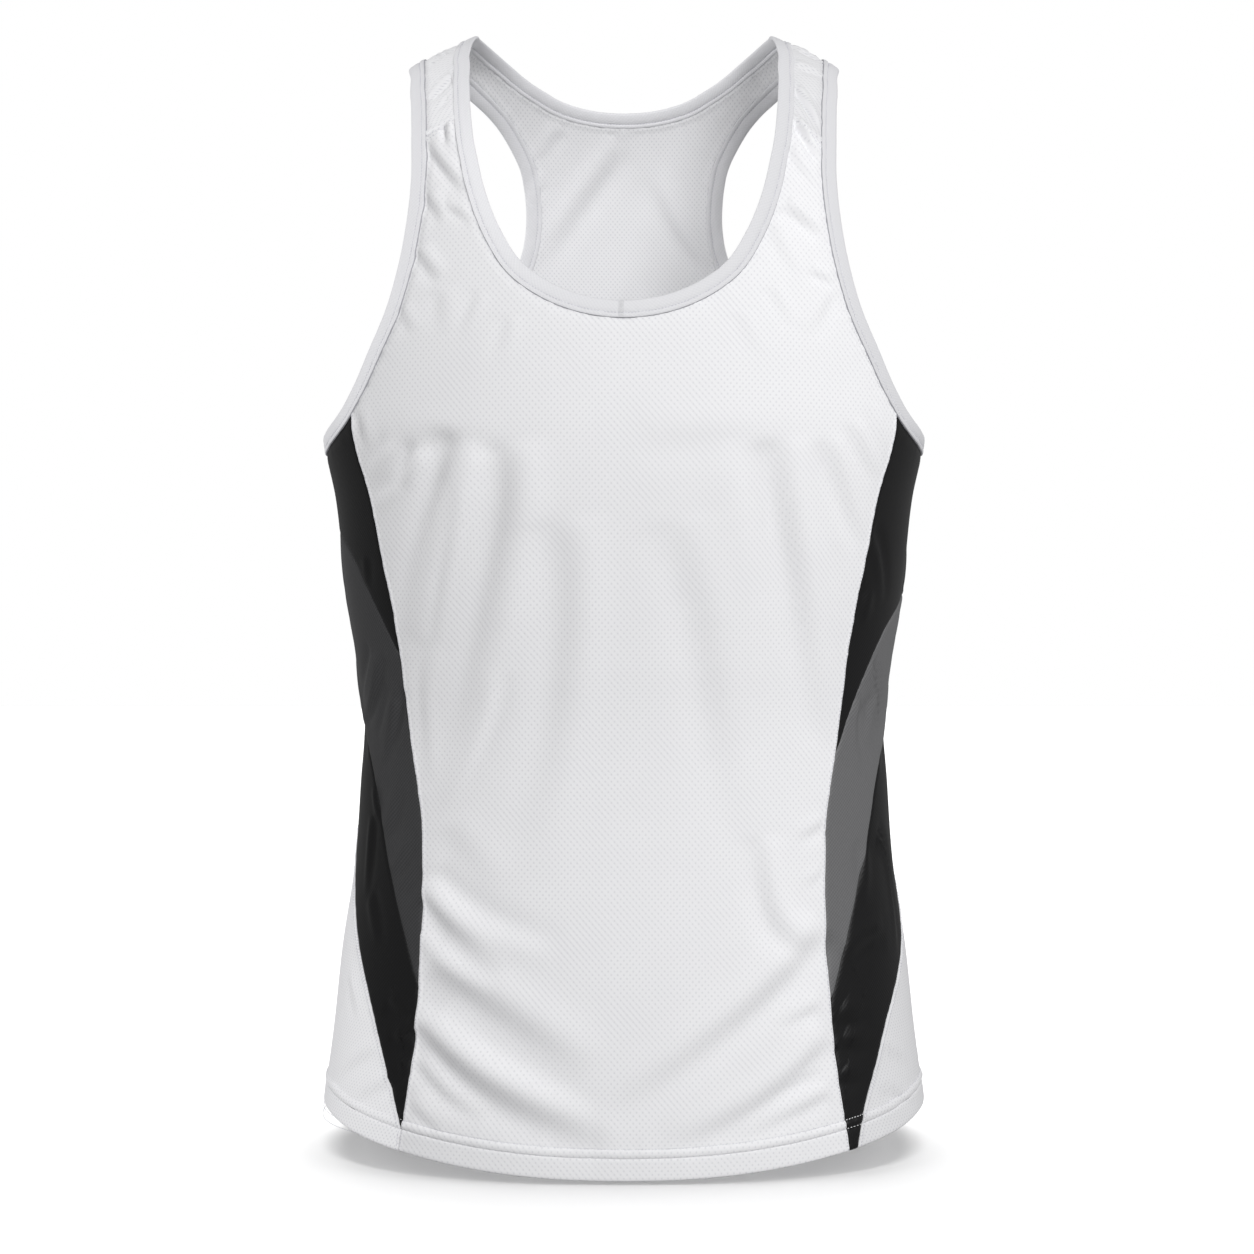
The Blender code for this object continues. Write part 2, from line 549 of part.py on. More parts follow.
def half_back(side):
    """Grids of one half of the back: the body, the racerback yoke and the strap over the shoulder."""
    lines = seams(side)
    neck = beside(lines["neck"], -BINDING_WIDTH - GAP)
    armhole = beside(lines["armhole"], BINDING_WIDTH + GAP, closed=True)
    side_seam = beside(lines["rear_seam"], -GAP / 2)
    shoulder = beside(lines["shoulder"], -GAP / 2)
    _, neck_shoulder, centre = neck_marks(lines)
    _, arm_shoulder, racer, under = armhole_marks(lines)
    inner = sample(neck, stations(lines["neck"], centre, neck_shoulder, BACK_STRAP_ROWS))
    outer = sample(armhole, stations(lines["armhole"], racer, arm_shoulder, BACK_STRAP_ROWS))
    yoke_side = sample(armhole, stations(lines["armhole"], under, racer, BACK_YOKE_ROWS))
    inner[-1] = sample(neck, crossing(neck, shoulder)[:1])
    outer[-1] = sample(armhole, crossing(armhole, shoulder)[:1])
    yoke_side[0] = sample(armhole, crossing(armhole, side_seam)[:1])
    seam = span(side_seam, lines["hem"], armhole, 40 * FINE)
    hem = hem_line(180.0, seam[0, 0], BACK_COLUMNS)
    split = np.array([180.0, -YOKE_SPLIT])
    middle = straight(hem[0], split, 40 * FINE)
    yoke_middle = straight(split, inner[0], BACK_YOKE_ROWS)
    yoke_row = straight(split, yoke_side[0], BACK_COLUMNS)
    racer_row = straight(inner[0], outer[0], BACK_COLUMNS)
    strap_top = straight(inner[-1], outer[-1], BACK_COLUMNS)
    body = patch(hem, yoke_row, risen(middle, BACK_BODY_ROWS), risen(seam, BACK_BODY_ROWS))
    yoke = patch(yoke_row, racer_row, yoke_middle, yoke_side)
    strap = patch(racer_row, strap_top, inner, outer)
    return [body, yoke, strap]


def insert_grid(side, part):
    """Grid of one piece of a side insert, from the front seam to the rear seam."""
    lines = seams(side)
    front = beside(lines["front_seam"], -GAP / 2)
    rear = beside(lines["rear_seam"], GAP / 2)
    rows = INSERT_ROWS[part]
    if part == "upper":
        floor = beside(lines["upper_cross"], GAP / 2)
        top = underarm(lines, front, rear)
    elif part == "grey":
        floor = beside(lines["lower_cross"], GAP / 2)
        ceiling = beside(lines["upper_cross"], -GAP / 2)
        top = span(ceiling, front, rear, INSERT_COLUMNS)
    else:
        floor = foot(lines, front, rear)
        ceiling = beside(lines["lower_cross"], -GAP / 2)
        top = span(ceiling, front, rear, INSERT_COLUMNS)
    bottom = span(floor, front, rear, INSERT_COLUMNS)
    left = reach(front, bottom[0], top[0], rows)
    right = reach(rear, bottom[-1], top[-1], rows)
    if bottom[0, 1] - hem_height(bottom[0, 0]) < SLIVER:
        left = risen(reach(front, bottom[0], top[0], 40 * FINE), rows)
        right = risen(reach(rear, bottom[-1], top[-1], 40 * FINE), rows)
    return patch(bottom, top, left, right)


def underarm(lines, front, rear):
    """The armhole's lowest part, from the front seam under the arm to the rear seam."""
    armhole = beside(lines["armhole"], BINDING_WIDTH + GAP, closed=True)
    lap = len(armhole) - 1
    twice = np.concatenate([armhole, armhole[1:]])
    edge_twice = np.concatenate([lines["armhole"], lines["armhole"][1:]])
    front_mark, _, _, rear_mark = armhole_marks(lines)
    row = sample(twice, stations(edge_twice, front_mark + lap, rear_mark, INSERT_COLUMNS))
    row[0] = sample(armhole, crossing(armhole, front)[:1])
    row[-1] = sample(armhole, crossing(armhole, rear)[:1])
    return row


def foot(lines, front, rear):
    """The lower edge of the black piece: on the hem, or where the piece thins to a sliver above it."""
    heights = np.linspace(-0.60, -0.70, 401)
    front_turns = np.interp(heights, front[:, 1], front[:, 0])
    rear_turns = np.interp(heights, rear[:, 1], rear[:, 0])
    widths = (rear_turns - front_turns) * DEG * FOLD_ARC
    lowest = heights[widths > SLIVER][-1]
    on_hem = lines["hem"]
    level = np.maximum(on_hem[:, 1], lowest)
    return np.stack([on_hem[:, 0], level], axis=1)


def reach(seam, start, end, count):
    """Rows along a seam from one place on it to another."""
    positions = np.interp([start[1], end[1]], seam[:, 1], np.arange(len(seam)))
    rows = sample(seam, stations(seam, positions[0], positions[1], count))
    rows[0], rows[-1] = start, end
    return rows


def ring(edge, positions, distance, closed):
    """A binding: a strip of even width along an opening's edge."""
    strips = [beside(edge, distance * share, closed) for share in np.linspace(0.0, 1.0, BINDING_COLUMNS + 1)]
    return np.stack([sample(strip, positions) for strip in strips], axis=1)


def half_neck_ring(side):
    lines = seams(side)
    front, shoulder, back = neck_marks(lines)
    strap = stations(lines["neck"], front, shoulder, FRONT_STRAP_ROWS)
    rest = stations(lines["neck"], shoulder, back, BACK_STRAP_ROWS)
    return ring(lines["neck"], np.concatenate([strap, rest[1:]]), -BINDING_WIDTH, False)


def neck_ring():
    return [half_neck_ring("R"), mirrored(half_neck_ring("L"))]


def armhole_ring(side):
    lines = seams(side)
    edge = lines["armhole"]
    lap = len(edge) - 1
    twice = np.concatenate([edge, edge[1:]])
    front, shoulder, racer, rear = armhole_marks(lines)
    legs = (
        stations(twice, front, shoulder, FRONT_STRAP_ROWS),
        stations(twice, shoulder, racer, BACK_STRAP_ROWS),
        stations(twice, racer, rear, BACK_YOKE_ROWS),
        stations(twice, rear, front + lap, INSERT_COLUMNS),
    )
    positions = np.concatenate([legs[0]] + [leg[1:] for leg in legs[1:]]) % lap
    grid = ring(edge, positions, BINDING_WIDTH, True)
    return [grid]


def to_side(grids, side):
    return [mirrored(grid) for grid in grids] if side == "L" else grids


def clear_scene():
    for thing in list(bpy.data.objects):
        bpy.data.objects.remove(thing)
    made = bpy.data.collections.new(COLLECTION)
    bpy.context.scene.collection.children.link(made)


def build():
    clear_scene()
    cloth("front_panel", half_front("R") + to_side(half_front("L"), "L"), "white", PLY / 2, hem_inside)
    cloth("back_panel", half_back("R") + to_side(half_back("L"), "L"), "white", PLY / 2, hem_inside)
    for side in ("L", "R"):
        for part, colour in (("upper", "black"), ("grey", "grey"), ("lower", "black")):
            name = "side_grey_" + side if part == "grey" else "side_black_" + part + "_" + side
            cloth(name, to_side([insert_grid(side, part)], side), colour, PLY / 2, hem_inside)
        cloth("armhole_binding_" + side, to_side(armhole_ring(side), side), "white",
              BINDING_PLY / 2, BINDING_PLY / 2)
    cloth("neck_binding", neck_ring(), "white", BINDING_PLY / 2, BINDING_PLY / 2)


build()
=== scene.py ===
"""Looks of the running singlet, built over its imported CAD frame.

Every piece of cloth lies on one body form.  A place on the form is a pair (turn, height): turn is in
degrees round the body, 0 at the front centre, 90 at the +X side and 180 at the back centre.
Each panel is a fine closed shell with folds, seam relief and stitches; the knit is in its material.
"""

import bpy
import numpy as np
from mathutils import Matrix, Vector, kdtree

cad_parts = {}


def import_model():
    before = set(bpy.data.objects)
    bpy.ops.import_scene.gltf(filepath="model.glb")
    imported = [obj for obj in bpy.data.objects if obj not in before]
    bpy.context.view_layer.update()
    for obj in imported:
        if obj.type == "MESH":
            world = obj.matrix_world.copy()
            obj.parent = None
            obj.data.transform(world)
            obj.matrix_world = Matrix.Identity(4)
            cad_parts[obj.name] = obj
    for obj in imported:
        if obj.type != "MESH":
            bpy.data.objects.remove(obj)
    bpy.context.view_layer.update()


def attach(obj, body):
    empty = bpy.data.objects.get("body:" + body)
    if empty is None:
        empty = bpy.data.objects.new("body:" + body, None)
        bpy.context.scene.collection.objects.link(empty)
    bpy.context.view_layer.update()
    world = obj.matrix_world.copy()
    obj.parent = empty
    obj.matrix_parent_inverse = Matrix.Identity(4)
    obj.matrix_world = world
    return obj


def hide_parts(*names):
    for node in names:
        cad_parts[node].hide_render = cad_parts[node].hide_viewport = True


BODY = "root"

PLY = 0.0010            # one layer of knit
HEM_DEPTH = 0.0128      # height of the lower row of hem stitches
HEM_TOP = 0.0180        # height of the upper row, where the turning ends
BINDING_WIDTH = 0.0108
TUCK = 0.0016           # how far a panel runs in under the binding
GAP = 0.0002            # between the rolled edges of two panels at a seam
SLIVER = 0.0008         # smallest width left at the point of a tapered piece
DEG = np.pi / 180.0

# The body form, one row per level slice; square is how full the corners of the slice are.
# height, half_width, front_depth, back_depth, front_square, back_square
SLICES = (
    (-0.7050, 0.1940, 0.1280, 0.1170, 2.30, 2.30),
    (-0.6753, 0.1908, 0.1260, 0.1150, 2.30, 2.30),
    (-0.6215, 0.1838, 0.1220, 0.1110, 2.30, 2.30),
    (-0.5703, 0.1783, 0.1170, 0.1050, 2.30, 2.30),
    (-0.5191, 0.1706, 0.1110, 0.0980, 2.30, 2.30),
    (-0.4679, 0.1670, 0.1070, 0.0930, 2.30, 2.30),
    (-0.4308, 0.1648, 0.1070, 0.0920, 2.30, 2.30),
    (-0.3911, 0.1698, 0.1110, 0.0950, 2.30, 2.30),
    (-0.3399, 0.1771, 0.1180, 0.1010, 2.30, 2.30),
    (-0.2887, 0.1827, 0.1250, 0.1080, 2.30, 2.30),
    (-0.2503, 0.1900, 0.1275, 0.1120, 2.30, 2.30),
    (-0.2200, 0.1885, 0.1270, 0.1140, 2.30, 2.30),
    (-0.1800, 0.1850, 0.1240, 0.1140, 2.30, 2.25),
    (-0.1400, 0.1805, 0.1170, 0.1110, 2.25, 2.20),
    (-0.1000, 0.1745, 0.1070, 0.1050, 2.20, 2.20),
    (-0.0700, 0.1680, 0.0960, 0.0970, 2.20, 2.20),
    (-0.0480, 0.1592, 0.0840, 0.0870, 2.20, 2.20),
    (-0.0300, 0.1490, 0.0730, 0.0760, 2.20, 2.20),
    (-0.0158, 0.1358, 0.0640, 0.0660, 2.20, 2.20),
    (0.0034, 0.0953, 0.0550, 0.0560, 2.20, 2.20),
    (0.0146, 0.0713, 0.0480, 0.0480, 2.20, 2.20),
    (0.0266, 0.0483, 0.0400, 0.0400, 2.20, 2.20),
)

# Edge of the neck opening, front centre to back centre; the other half is its mirror.
# turn, height
NECK = (
    (0.0, -0.1780), (8.0, -0.1743), (14.5, -0.1650), (18.9, -0.1544), (23.4, -0.1343),
    (27.4, -0.1089), (30.5, -0.0829), (34.0, -0.0545), (37.5, -0.0332), (40.9, -0.0202),
    (47.1, -0.0101), (53.6, -0.0047), (70.3, 0.0028), (89.0, 0.0052), (107.4, 0.0055),
    (122.7, 0.0035), (131.7, 0.0010), (139.1, -0.0020), (146.6, -0.0062), (152.4, -0.0102),
    (157.5, -0.0142), (162.3, -0.0186), (169.3, -0.0231), (180.0, -0.0255),
)

# Edge of the +X armhole, from under the arm up the front, over the shoulder and down the back.
# turn, height
ARMHOLE = (
    (90.0, -0.2503), (73.5, -0.2478), (62.0, -0.2369), (56.9, -0.2232), (52.1, -0.2023),
    (47.9, -0.1788), (45.9, -0.1548), (45.2, -0.1301), (45.6, -0.1049), (46.8, -0.0855),
    (49.3, -0.0654), (54.6, -0.0440), (63.8, -0.0256), (75.0, -0.0183), (88.0, -0.0153),
    (101.4, -0.0136), (115.5, -0.0134), (127.8, -0.0160), (139.5, -0.0250), (146.0, -0.0337),
    (152.1, -0.0487), (155.2, -0.0607), (156.8, -0.0732), (157.7, -0.0889), (157.5, -0.1100),
    (154.5, -0.1380), (149.0, -0.1680), (140.0, -0.2000), (126.0, -0.2310), (108.0, -0.2465),
)

# Seam between the front and the side insert, the same on both sides.
# turn, height
FRONT_SEAM = (
    (42.8, -0.7050), (42.2, -0.6815), (41.2, -0.6293), (41.0, -0.5820), (42.2, -0.5346),
    (43.3, -0.5108), (44.1, -0.4868), (46.2, -0.4628), (48.8, -0.4388), (49.8, -0.4145),
    (49.7, -0.3900), (50.4, -0.3657), (51.4, -0.3415), (52.7, -0.3171), (54.1, -0.2929),
    (55.8, -0.2683), (57.0, -0.2470), (58.5, -0.2250),
)

# Seam between the side insert and the back: the back wraps forward low down.
# turn, height
REAR_SEAM = {
    "L": (
        (42.5, -0.7050), (41.9, -0.6720), (43.6, -0.6600), (48.8, -0.6297), (57.6, -0.5860),
        (70.0, -0.5432), (79.0, -0.5180), (90.0, -0.4870), (101.0, -0.4500), (109.0, -0.4100),
        (115.0, -0.3600), (120.0, -0.3000), (124.0, -0.2470), (126.0, -0.2250),
    ),
    "R": (
        (43.5, -0.7050), (44.7, -0.6790), (47.8, -0.6560), (52.6, -0.6330), (57.9, -0.6100),
        (65.2, -0.5880), (74.9, -0.5640), (84.0, -0.5380), (94.0, -0.5020), (103.0, -0.4600),
        (110.0, -0.4150), (115.5, -0.3600), (120.0, -0.3000), (124.0, -0.2470), (126.0, -0.2250),
    ),
}

# Seams across each insert, from beyond the front seam round to beyond the rear one.
# turn, height
UPPER_CROSS_SEAM = {
    "L": (
        (44.0, -0.4060), (50.0, -0.3868), (54.5, -0.3660), (58.7, -0.3485), (63.0, -0.3330),
        (69.0, -0.3205), (78.0, -0.3125), (90.0, -0.3060), (105.0, -0.2990), (130.0, -0.2900),
    ),
    "R": (
        (44.0, -0.4620), (49.6, -0.4410), (54.5, -0.4140), (60.1, -0.3880), (66.0, -0.3700),
        (75.0, -0.3580), (90.0, -0.3490), (105.0, -0.3410), (130.0, -0.3300),
    ),
}
LOWER_CROSS_SEAM = {
    "L": (
        (37.0, -0.6020), (41.3, -0.5830), (45.6, -0.5580), (50.3, -0.5345), (55.0, -0.5105),
        (60.0, -0.4810), (66.0, -0.4570), (74.2, -0.4400), (90.0, -0.4240), (105.0, -0.4120),
        (130.0, -0.3960),
    ),
    "R": (
        (37.0, -0.6160), (41.2, -0.5930), (46.6, -0.5590), (51.2, -0.5360), (56.2, -0.5120),
        (60.8, -0.4880), (66.0, -0.4640), (74.4, -0.4460), (90.0, -0.4310), (105.0, -0.4200),
        (130.0, -0.4050),
    ),
}

# The lower edge, front centre to back centre.
# turn, height
HEM = (
    (0.0, -0.6945), (11.0, -0.6938), (22.0, -0.6913), (31.0, -0.6880), (42.0, -0.6830),
    (55.0, -0.6770), (70.0, -0.6705), (90.0, -0.6680), (110.0, -0.6710), (138.0, -0.6810),
    (160.0, -0.6880), (180.0, -0.6900),
)

# Forward shoulder seam: a straight line across the front of each strap.
# turn, height
SHOULDER_SEAM = {
    "L": ((50.0, -0.0792), (30.0, -0.0521)),
    "R": ((50.0, -0.0907), (30.0, -0.0439)),
}

# Large folds: three places each runs through, its half width, and how far the cloth steps there.
# A positive step stands out on the fold's left, seen from outside as it runs, and sinks on its right.
# start_turn, start_height, mid_turn, mid_height, end_turn, end_height, half_width, step
FOLDS = (
    # hanging from the chest, -X side of the front
    (-29.2, -0.259, -36.2, -0.299, -48.2, -0.373, 0.0120, 0.0044),
    (-21.0, -0.262, -24.5, -0.342, -40.2, -0.476, 0.0130, 0.0028),
    (-25.0, -0.397, -29.5, -0.436, -37.8, -0.483, 0.0060, -0.0009),
    (-11.5, -0.307, -11.5, -0.392, -20.8, -0.517, 0.0150, 0.0020),
    (-37.0, -0.489, -32.0, -0.505, -23.8, -0.528, 0.0120, 0.0009),
    # hanging from the chest, +X side of the front
    (23.0, -0.260, 25.8, -0.330, 30.5, -0.438, 0.0150, -0.0014),
    (9.8, -0.307, 18.0, -0.402, 21.5, -0.492, 0.0150, 0.0017),
    (27.8, -0.260, 34.0, -0.337, 44.0, -0.441, 0.0115, 0.0032),
    (28.2, -0.496, 30.0, -0.546, 38.5, -0.557, 0.0090, 0.0026),
    # dragged across the front above the hem, -X side
    (-40.8, -0.520, -30.5, -0.541, -12.2, -0.562, 0.0090, -0.0024),
    (-41.0, -0.530, -33.2, -0.552, -22.8, -0.574, 0.0080, 0.0023),
    (-41.0, -0.552, -32.2, -0.571, -23.5, -0.584, 0.0055, -0.0014),
    (-38.8, -0.573, -22.5, -0.599, -6.0, -0.633, 0.0140, 0.0036),
    (-40.8, -0.596, -23.0, -0.628, -5.0, -0.655, 0.0080, -0.0020),
    (-39.0, -0.606, -24.8, -0.643, -1.5, -0.673, 0.0120, 0.0040),
    # dragged across the front above the hem, +X side
    (40.8, -0.550, 22.0, -0.599, -4.2, -0.657, 0.0120, -0.0036),
    (39.2, -0.615, 25.5, -0.648, 8.2, -0.673, 0.0095, -0.0030),
    # hanging from the racerback
    (-150.0, -0.200, -146.0, -0.320, -140.0, -0.450, 0.0120, 0.0022),
    (-168.0, -0.240, -163.0, -0.380, -158.0, -0.520, 0.0110, -0.0018),
    (178.0, -0.140, 176.0, -0.220, 173.0, -0.310, 0.0110, 0.0015),
    (168.0, -0.270, 163.0, -0.400, 167.0, -0.530, 0.0130, 0.0022),
    (152.0, -0.220, 148.0, -0.330, 152.0, -0.470, 0.0110, -0.0018),
    (138.0, -0.300, 134.0, -0.400, 131.0, -0.500, 0.0100, 0.0014),
    # drawn across the racerback under the neck
    (-179.5, -0.045, -169.8, -0.083, -161.5, -0.123, 0.0090, -0.0018),
    (162.2, -0.123, 169.2, -0.093, 172.8, -0.063, 0.0085, -0.0020),
    (-164.2, -0.035, -161.8, -0.043, -159.8, -0.054, 0.0060, -0.0007),
    # dragged across the back above the hem
    (-135.0, -0.550, -150.0, -0.585, -172.0, -0.615, 0.0090, 0.0024),
    (-134.0, -0.580, -148.0, -0.608, -166.0, -0.640, 0.0080, -0.0016),
    (-132.0, -0.605, -146.0, -0.632, -168.0, -0.658, 0.0080, 0.0020),
    (138.0, -0.570, 152.0, -0.605, 172.0, -0.640, 0.0095, -0.0024),
    (137.0, -0.598, 150.0, -0.626, 166.0, -0.658, 0.0075, 0.0015),
    (130.0, -0.625, 144.0, -0.648, 162.0, -0.668, 0.0075, -0.0019),
    # pinched at the waist on the inserts
    (-88.0, -0.395, -80.0, -0.425, -70.0, -0.445, 0.0080, 0.0015),
    (86.0, -0.410, 78.0, -0.438, 69.0, -0.452, 0.0080, -0.0015),
    (-112.0, -0.425, -103.0, -0.445, -93.0, -0.455, 0.0080, 0.0015),
    (113.0, -0.415, 104.0, -0.440, 94.0, -0.455, 0.0080, -0.0015),
)

# Small folds and wrinkles, same columns as the large ones.
WRINKLES = (
    # under the chest and beside the front seams
    (-30.8, -0.286, -34.5, -0.330, -43.2, -0.415, 0.0045, 0.0009),
    (-40.5, -0.381, -44.2, -0.417, -42.2, -0.466, 0.0060, 0.0010),
    (-38.8, -0.262, -41.5, -0.273, -44.5, -0.283, 0.0055, 0.0026),
    (-45.2, -0.258, -48.5, -0.266, -52.5, -0.277, 0.0050, 0.0012),
    (-44.8, -0.282, -48.8, -0.289, -53.0, -0.294, 0.0050, 0.0009),
    (-54.8, -0.238, -52.5, -0.251, -51.8, -0.263, 0.0045, 0.0014),
    (-42.5, -0.256, -30.5, -0.257, -17.8, -0.264, 0.0090, 0.0005),
    (3.0, -0.260, 16.2, -0.257, 32.2, -0.260, 0.0120, 0.0006),
    (37.8, -0.258, 43.2, -0.288, 50.0, -0.320, 0.0070, 0.0020),
    (43.5, -0.248, 46.8, -0.264, 52.0, -0.281, 0.0050, 0.0014),
    (40.8, -0.321, 46.5, -0.366, 49.0, -0.387, 0.0030, -0.0006),
    (43.0, -0.488, 39.8, -0.493, 36.2, -0.497, 0.0045, -0.0013),
    (42.2, -0.517, 39.5, -0.522, 37.0, -0.524, 0.0040, -0.0009),
    (48.8, -0.238, 50.5, -0.254, 54.0, -0.272, 0.0040, 0.0011),
    # at the lower corners of the front
    (-39.5, -0.630, -33.2, -0.647, -25.0, -0.661, 0.0055, 0.0024),
    (-40.0, -0.655, -37.0, -0.662, -34.0, -0.669, 0.0040, 0.0012),
    (38.2, -0.596, 33.8, -0.601, 29.0, -0.607, 0.0050, -0.0014),
    (37.8, -0.634, 34.0, -0.639, 29.8, -0.643, 0.0035, -0.0010),
    (38.8, -0.648, 30.2, -0.658, 20.2, -0.671, 0.0055, -0.0019),
    # across the straps, -X side
    (-58.8, -0.008, -57.2, -0.014, -57.8, -0.020, 0.0030, -0.0024),
    (-43.5, -0.031, -45.5, -0.038, -47.2, -0.046, 0.0034, -0.0028),
    (-41.5, -0.046, -42.8, -0.050, -44.0, -0.055, 0.0028, -0.0013),
    (-39.2, -0.063, -38.2, -0.070, -37.2, -0.078, 0.0036, 0.0022),
    (-42.0, -0.077, -36.8, -0.094, -30.8, -0.110, 0.0050, 0.0021),
    (-40.5, -0.109, -38.5, -0.117, -35.5, -0.127, 0.0055, 0.0018),
    (-35.8, -0.117, -32.5, -0.122, -29.0, -0.130, 0.0040, 0.0010),
    (-40.8, -0.144, -38.0, -0.154, -34.8, -0.163, 0.0055, 0.0017),
    (-43.5, -0.179, -42.0, -0.186, -40.2, -0.195, 0.0050, 0.0010),
    (-34.8, -0.169, -34.2, -0.182, -34.5, -0.195, 0.0070, 0.0008),
    # across the straps, +X side
    (57.5, -0.009, 62.2, -0.011, 65.0, -0.015, 0.0030, 0.0022),
    (46.0, -0.023, 50.0, -0.024, 54.8, -0.026, 0.0028, 0.0018),
    (41.5, -0.039, 42.8, -0.052, 43.8, -0.066, 0.0034, 0.0026),
    (38.0, -0.062, 39.5, -0.075, 41.8, -0.088, 0.0036, 0.0026),
    (35.0, -0.079, 36.8, -0.093, 40.5, -0.104, 0.0050, 0.0014),
    (31.8, -0.117, 35.5, -0.126, 40.0, -0.135, 0.0055, 0.0022),
    (28.5, -0.130, 30.2, -0.145, 32.8, -0.161, 0.0060, 0.0011),
    (35.8, -0.157, 38.5, -0.161, 41.2, -0.164, 0.0040, 0.0011),
    (40.5, -0.168, 37.8, -0.182, 34.5, -0.197, 0.0060, -0.0011),
    # spreading from the front of the neck
    (-26.5, -0.172, -28.2, -0.184, -30.0, -0.199, 0.0045, 0.0006),
    (-20.8, -0.187, -21.5, -0.200, -22.8, -0.214, 0.0050, 0.0006),
    (21.2, -0.185, 22.2, -0.197, 23.5, -0.210, 0.0050, 0.0006),
    (27.2, -0.168, 29.0, -0.180, 30.8, -0.193, 0.0045, 0.0007),
    # on the back where it comes round to the front
    (-66.2, -0.587, -62.5, -0.598, -60.0, -0.610, 0.0045, 0.0012),
    (-51.2, -0.626, -59.8, -0.638, -68.2, -0.653, 0.0050, -0.0013),
    (-45.0, -0.643, -51.0, -0.650, -57.2, -0.660, 0.0045, -0.0012),
    (55.8, -0.625, 59.8, -0.632, 65.5, -0.640, 0.0040, 0.0010),
    (53.0, -0.647, 58.2, -0.655, 65.5, -0.663, 0.0040, 0.0011),
    # along and across the -X insert
    (-58.0, -0.327, -58.0, -0.335, -58.5, -0.345, 0.0045, -0.0007),
    (-56.8, -0.387, -64.8, -0.415, -77.2, -0.430, 0.0053, -0.0014),
    (-51.2, -0.407, -55.2, -0.432, -59.5, -0.455, 0.0053, -0.0014),
    (-61.5, -0.384, -67.5, -0.400, -77.0, -0.416, 0.0060, 0.0012),
    (-55.0, -0.409, -58.5, -0.422, -62.8, -0.440, 0.0060, 0.0012),
    (-62.8, -0.468, -61.0, -0.478, -59.0, -0.488, 0.0045, -0.0010),
    (-55.2, -0.497, -53.0, -0.483, -51.2, -0.468, 0.0067, 0.0012),
    (-51.0, -0.522, -48.2, -0.510, -45.5, -0.498, 0.0060, 0.0012),
    (-49.0, -0.531, -46.2, -0.523, -44.0, -0.514, 0.0053, 0.0010),
    (-62.8, -0.487, -63.0, -0.511, -62.0, -0.536, 0.0053, -0.0011),
    (-60.0, -0.534, -56.5, -0.547, -53.2, -0.562, 0.0053, -0.0010),
    (-49.0, -0.596, -45.8, -0.600, -42.5, -0.601, 0.0067, 0.0011),
    (-46.8, -0.615, -44.2, -0.619, -41.5, -0.620, 0.0060, 0.0011),
    (-45.0, -0.634, -43.2, -0.636, -41.8, -0.637, 0.0053, 0.0008),
    # along and across the +X insert
    (53.2, -0.313, 57.5, -0.327, 61.8, -0.355, 0.0060, -0.0011),
    (54.0, -0.345, 53.2, -0.356, 54.2, -0.368, 0.0060, 0.0011),
    (57.5, -0.416, 56.2, -0.432, 58.0, -0.457, 0.0053, -0.0013),
    (60.0, -0.393, 65.5, -0.409, 71.5, -0.429, 0.0053, -0.0012),
    (62.5, -0.412, 62.0, -0.425, 61.2, -0.440, 0.0060, 0.0012),
    (63.5, -0.498, 71.0, -0.522, 67.5, -0.574, 0.0053, -0.0011),
    (54.5, -0.502, 55.0, -0.519, 52.2, -0.536, 0.0067, 0.0011),
    (46.5, -0.571, 53.0, -0.561, 61.2, -0.558, 0.0083, 0.0013),
    (42.5, -0.601, 45.8, -0.605, 50.8, -0.600, 0.0075, 0.0013),
    (43.2, -0.616, 46.8, -0.621, 51.8, -0.618, 0.0067, 0.0012),
    (41.8, -0.637, 44.2, -0.640, 48.2, -0.637, 0.0060, 0.0010),
    # on the inserts behind the arms
    (-98.0, -0.300, -92.0, -0.340, -90.0, -0.385, 0.0090, 0.0022),
    (-110.0, -0.330, -104.0, -0.372, -99.0, -0.408, 0.0090, -0.0020),
    (96.0, -0.310, 92.0, -0.350, 91.0, -0.395, 0.0090, -0.0022),
    (108.0, -0.320, 104.0, -0.362, 99.0, -0.402, 0.0090, 0.0020),
    # small ones on the back
    (-160.0, -0.060, -158.0, -0.080, -159.0, -0.102, 0.0045, 0.0007),
    (160.0, -0.064, 158.5, -0.085, 159.5, -0.106, 0.0045, -0.0007),
    (-128.0, -0.262, -133.0, -0.290, -136.0, -0.320, 0.0055, 0.0009),
    (127.0, -0.262, 131.0, -0.292, 136.0, -0.325, 0.0055, -0.0009),
    (-120.0, -0.450, -130.0, -0.475, -142.0, -0.492, 0.0060, 0.0010),
    (122.0, -0.440, 133.0, -0.468, 143.0, -0.487, 0.0060, -0.0010),
    (-176.0, -0.560, -168.0, -0.600, -163.0, -0.650, 0.0070, 0.0010),
    (176.0, -0.575, 171.0, -0.615, 168.0, -0.655, 0.0070, -0.0010),
)
FOLD_STEPS = 8          # straight steps along one fold
SWELL_LEAD = 0.65       # below 1, a fold is deepest nearer its start
SWELL_FULLNESS = 0.7    # below 1, a fold keeps its depth nearer its ends
FOLD_ARC = 0.165        # metres of cloth to one radian of turn, for measuring folds
STEP_PEAK = 2.3316      # makes the highest place of a fold its full step
FINE = 12               # points per row of a table in a drawn curve
RACER_SPLIT = 0.078     # depth on the armhole where the back's strap rows begin
YOKE_SPLIT = 0.285      # height below the shoulders where the back's yoke rows begin
TURN_STEP = 0.02        # degrees, for the slopes of a surface
HEIGHT_STEP = 0.00002   # metres, for the slopes of a surface


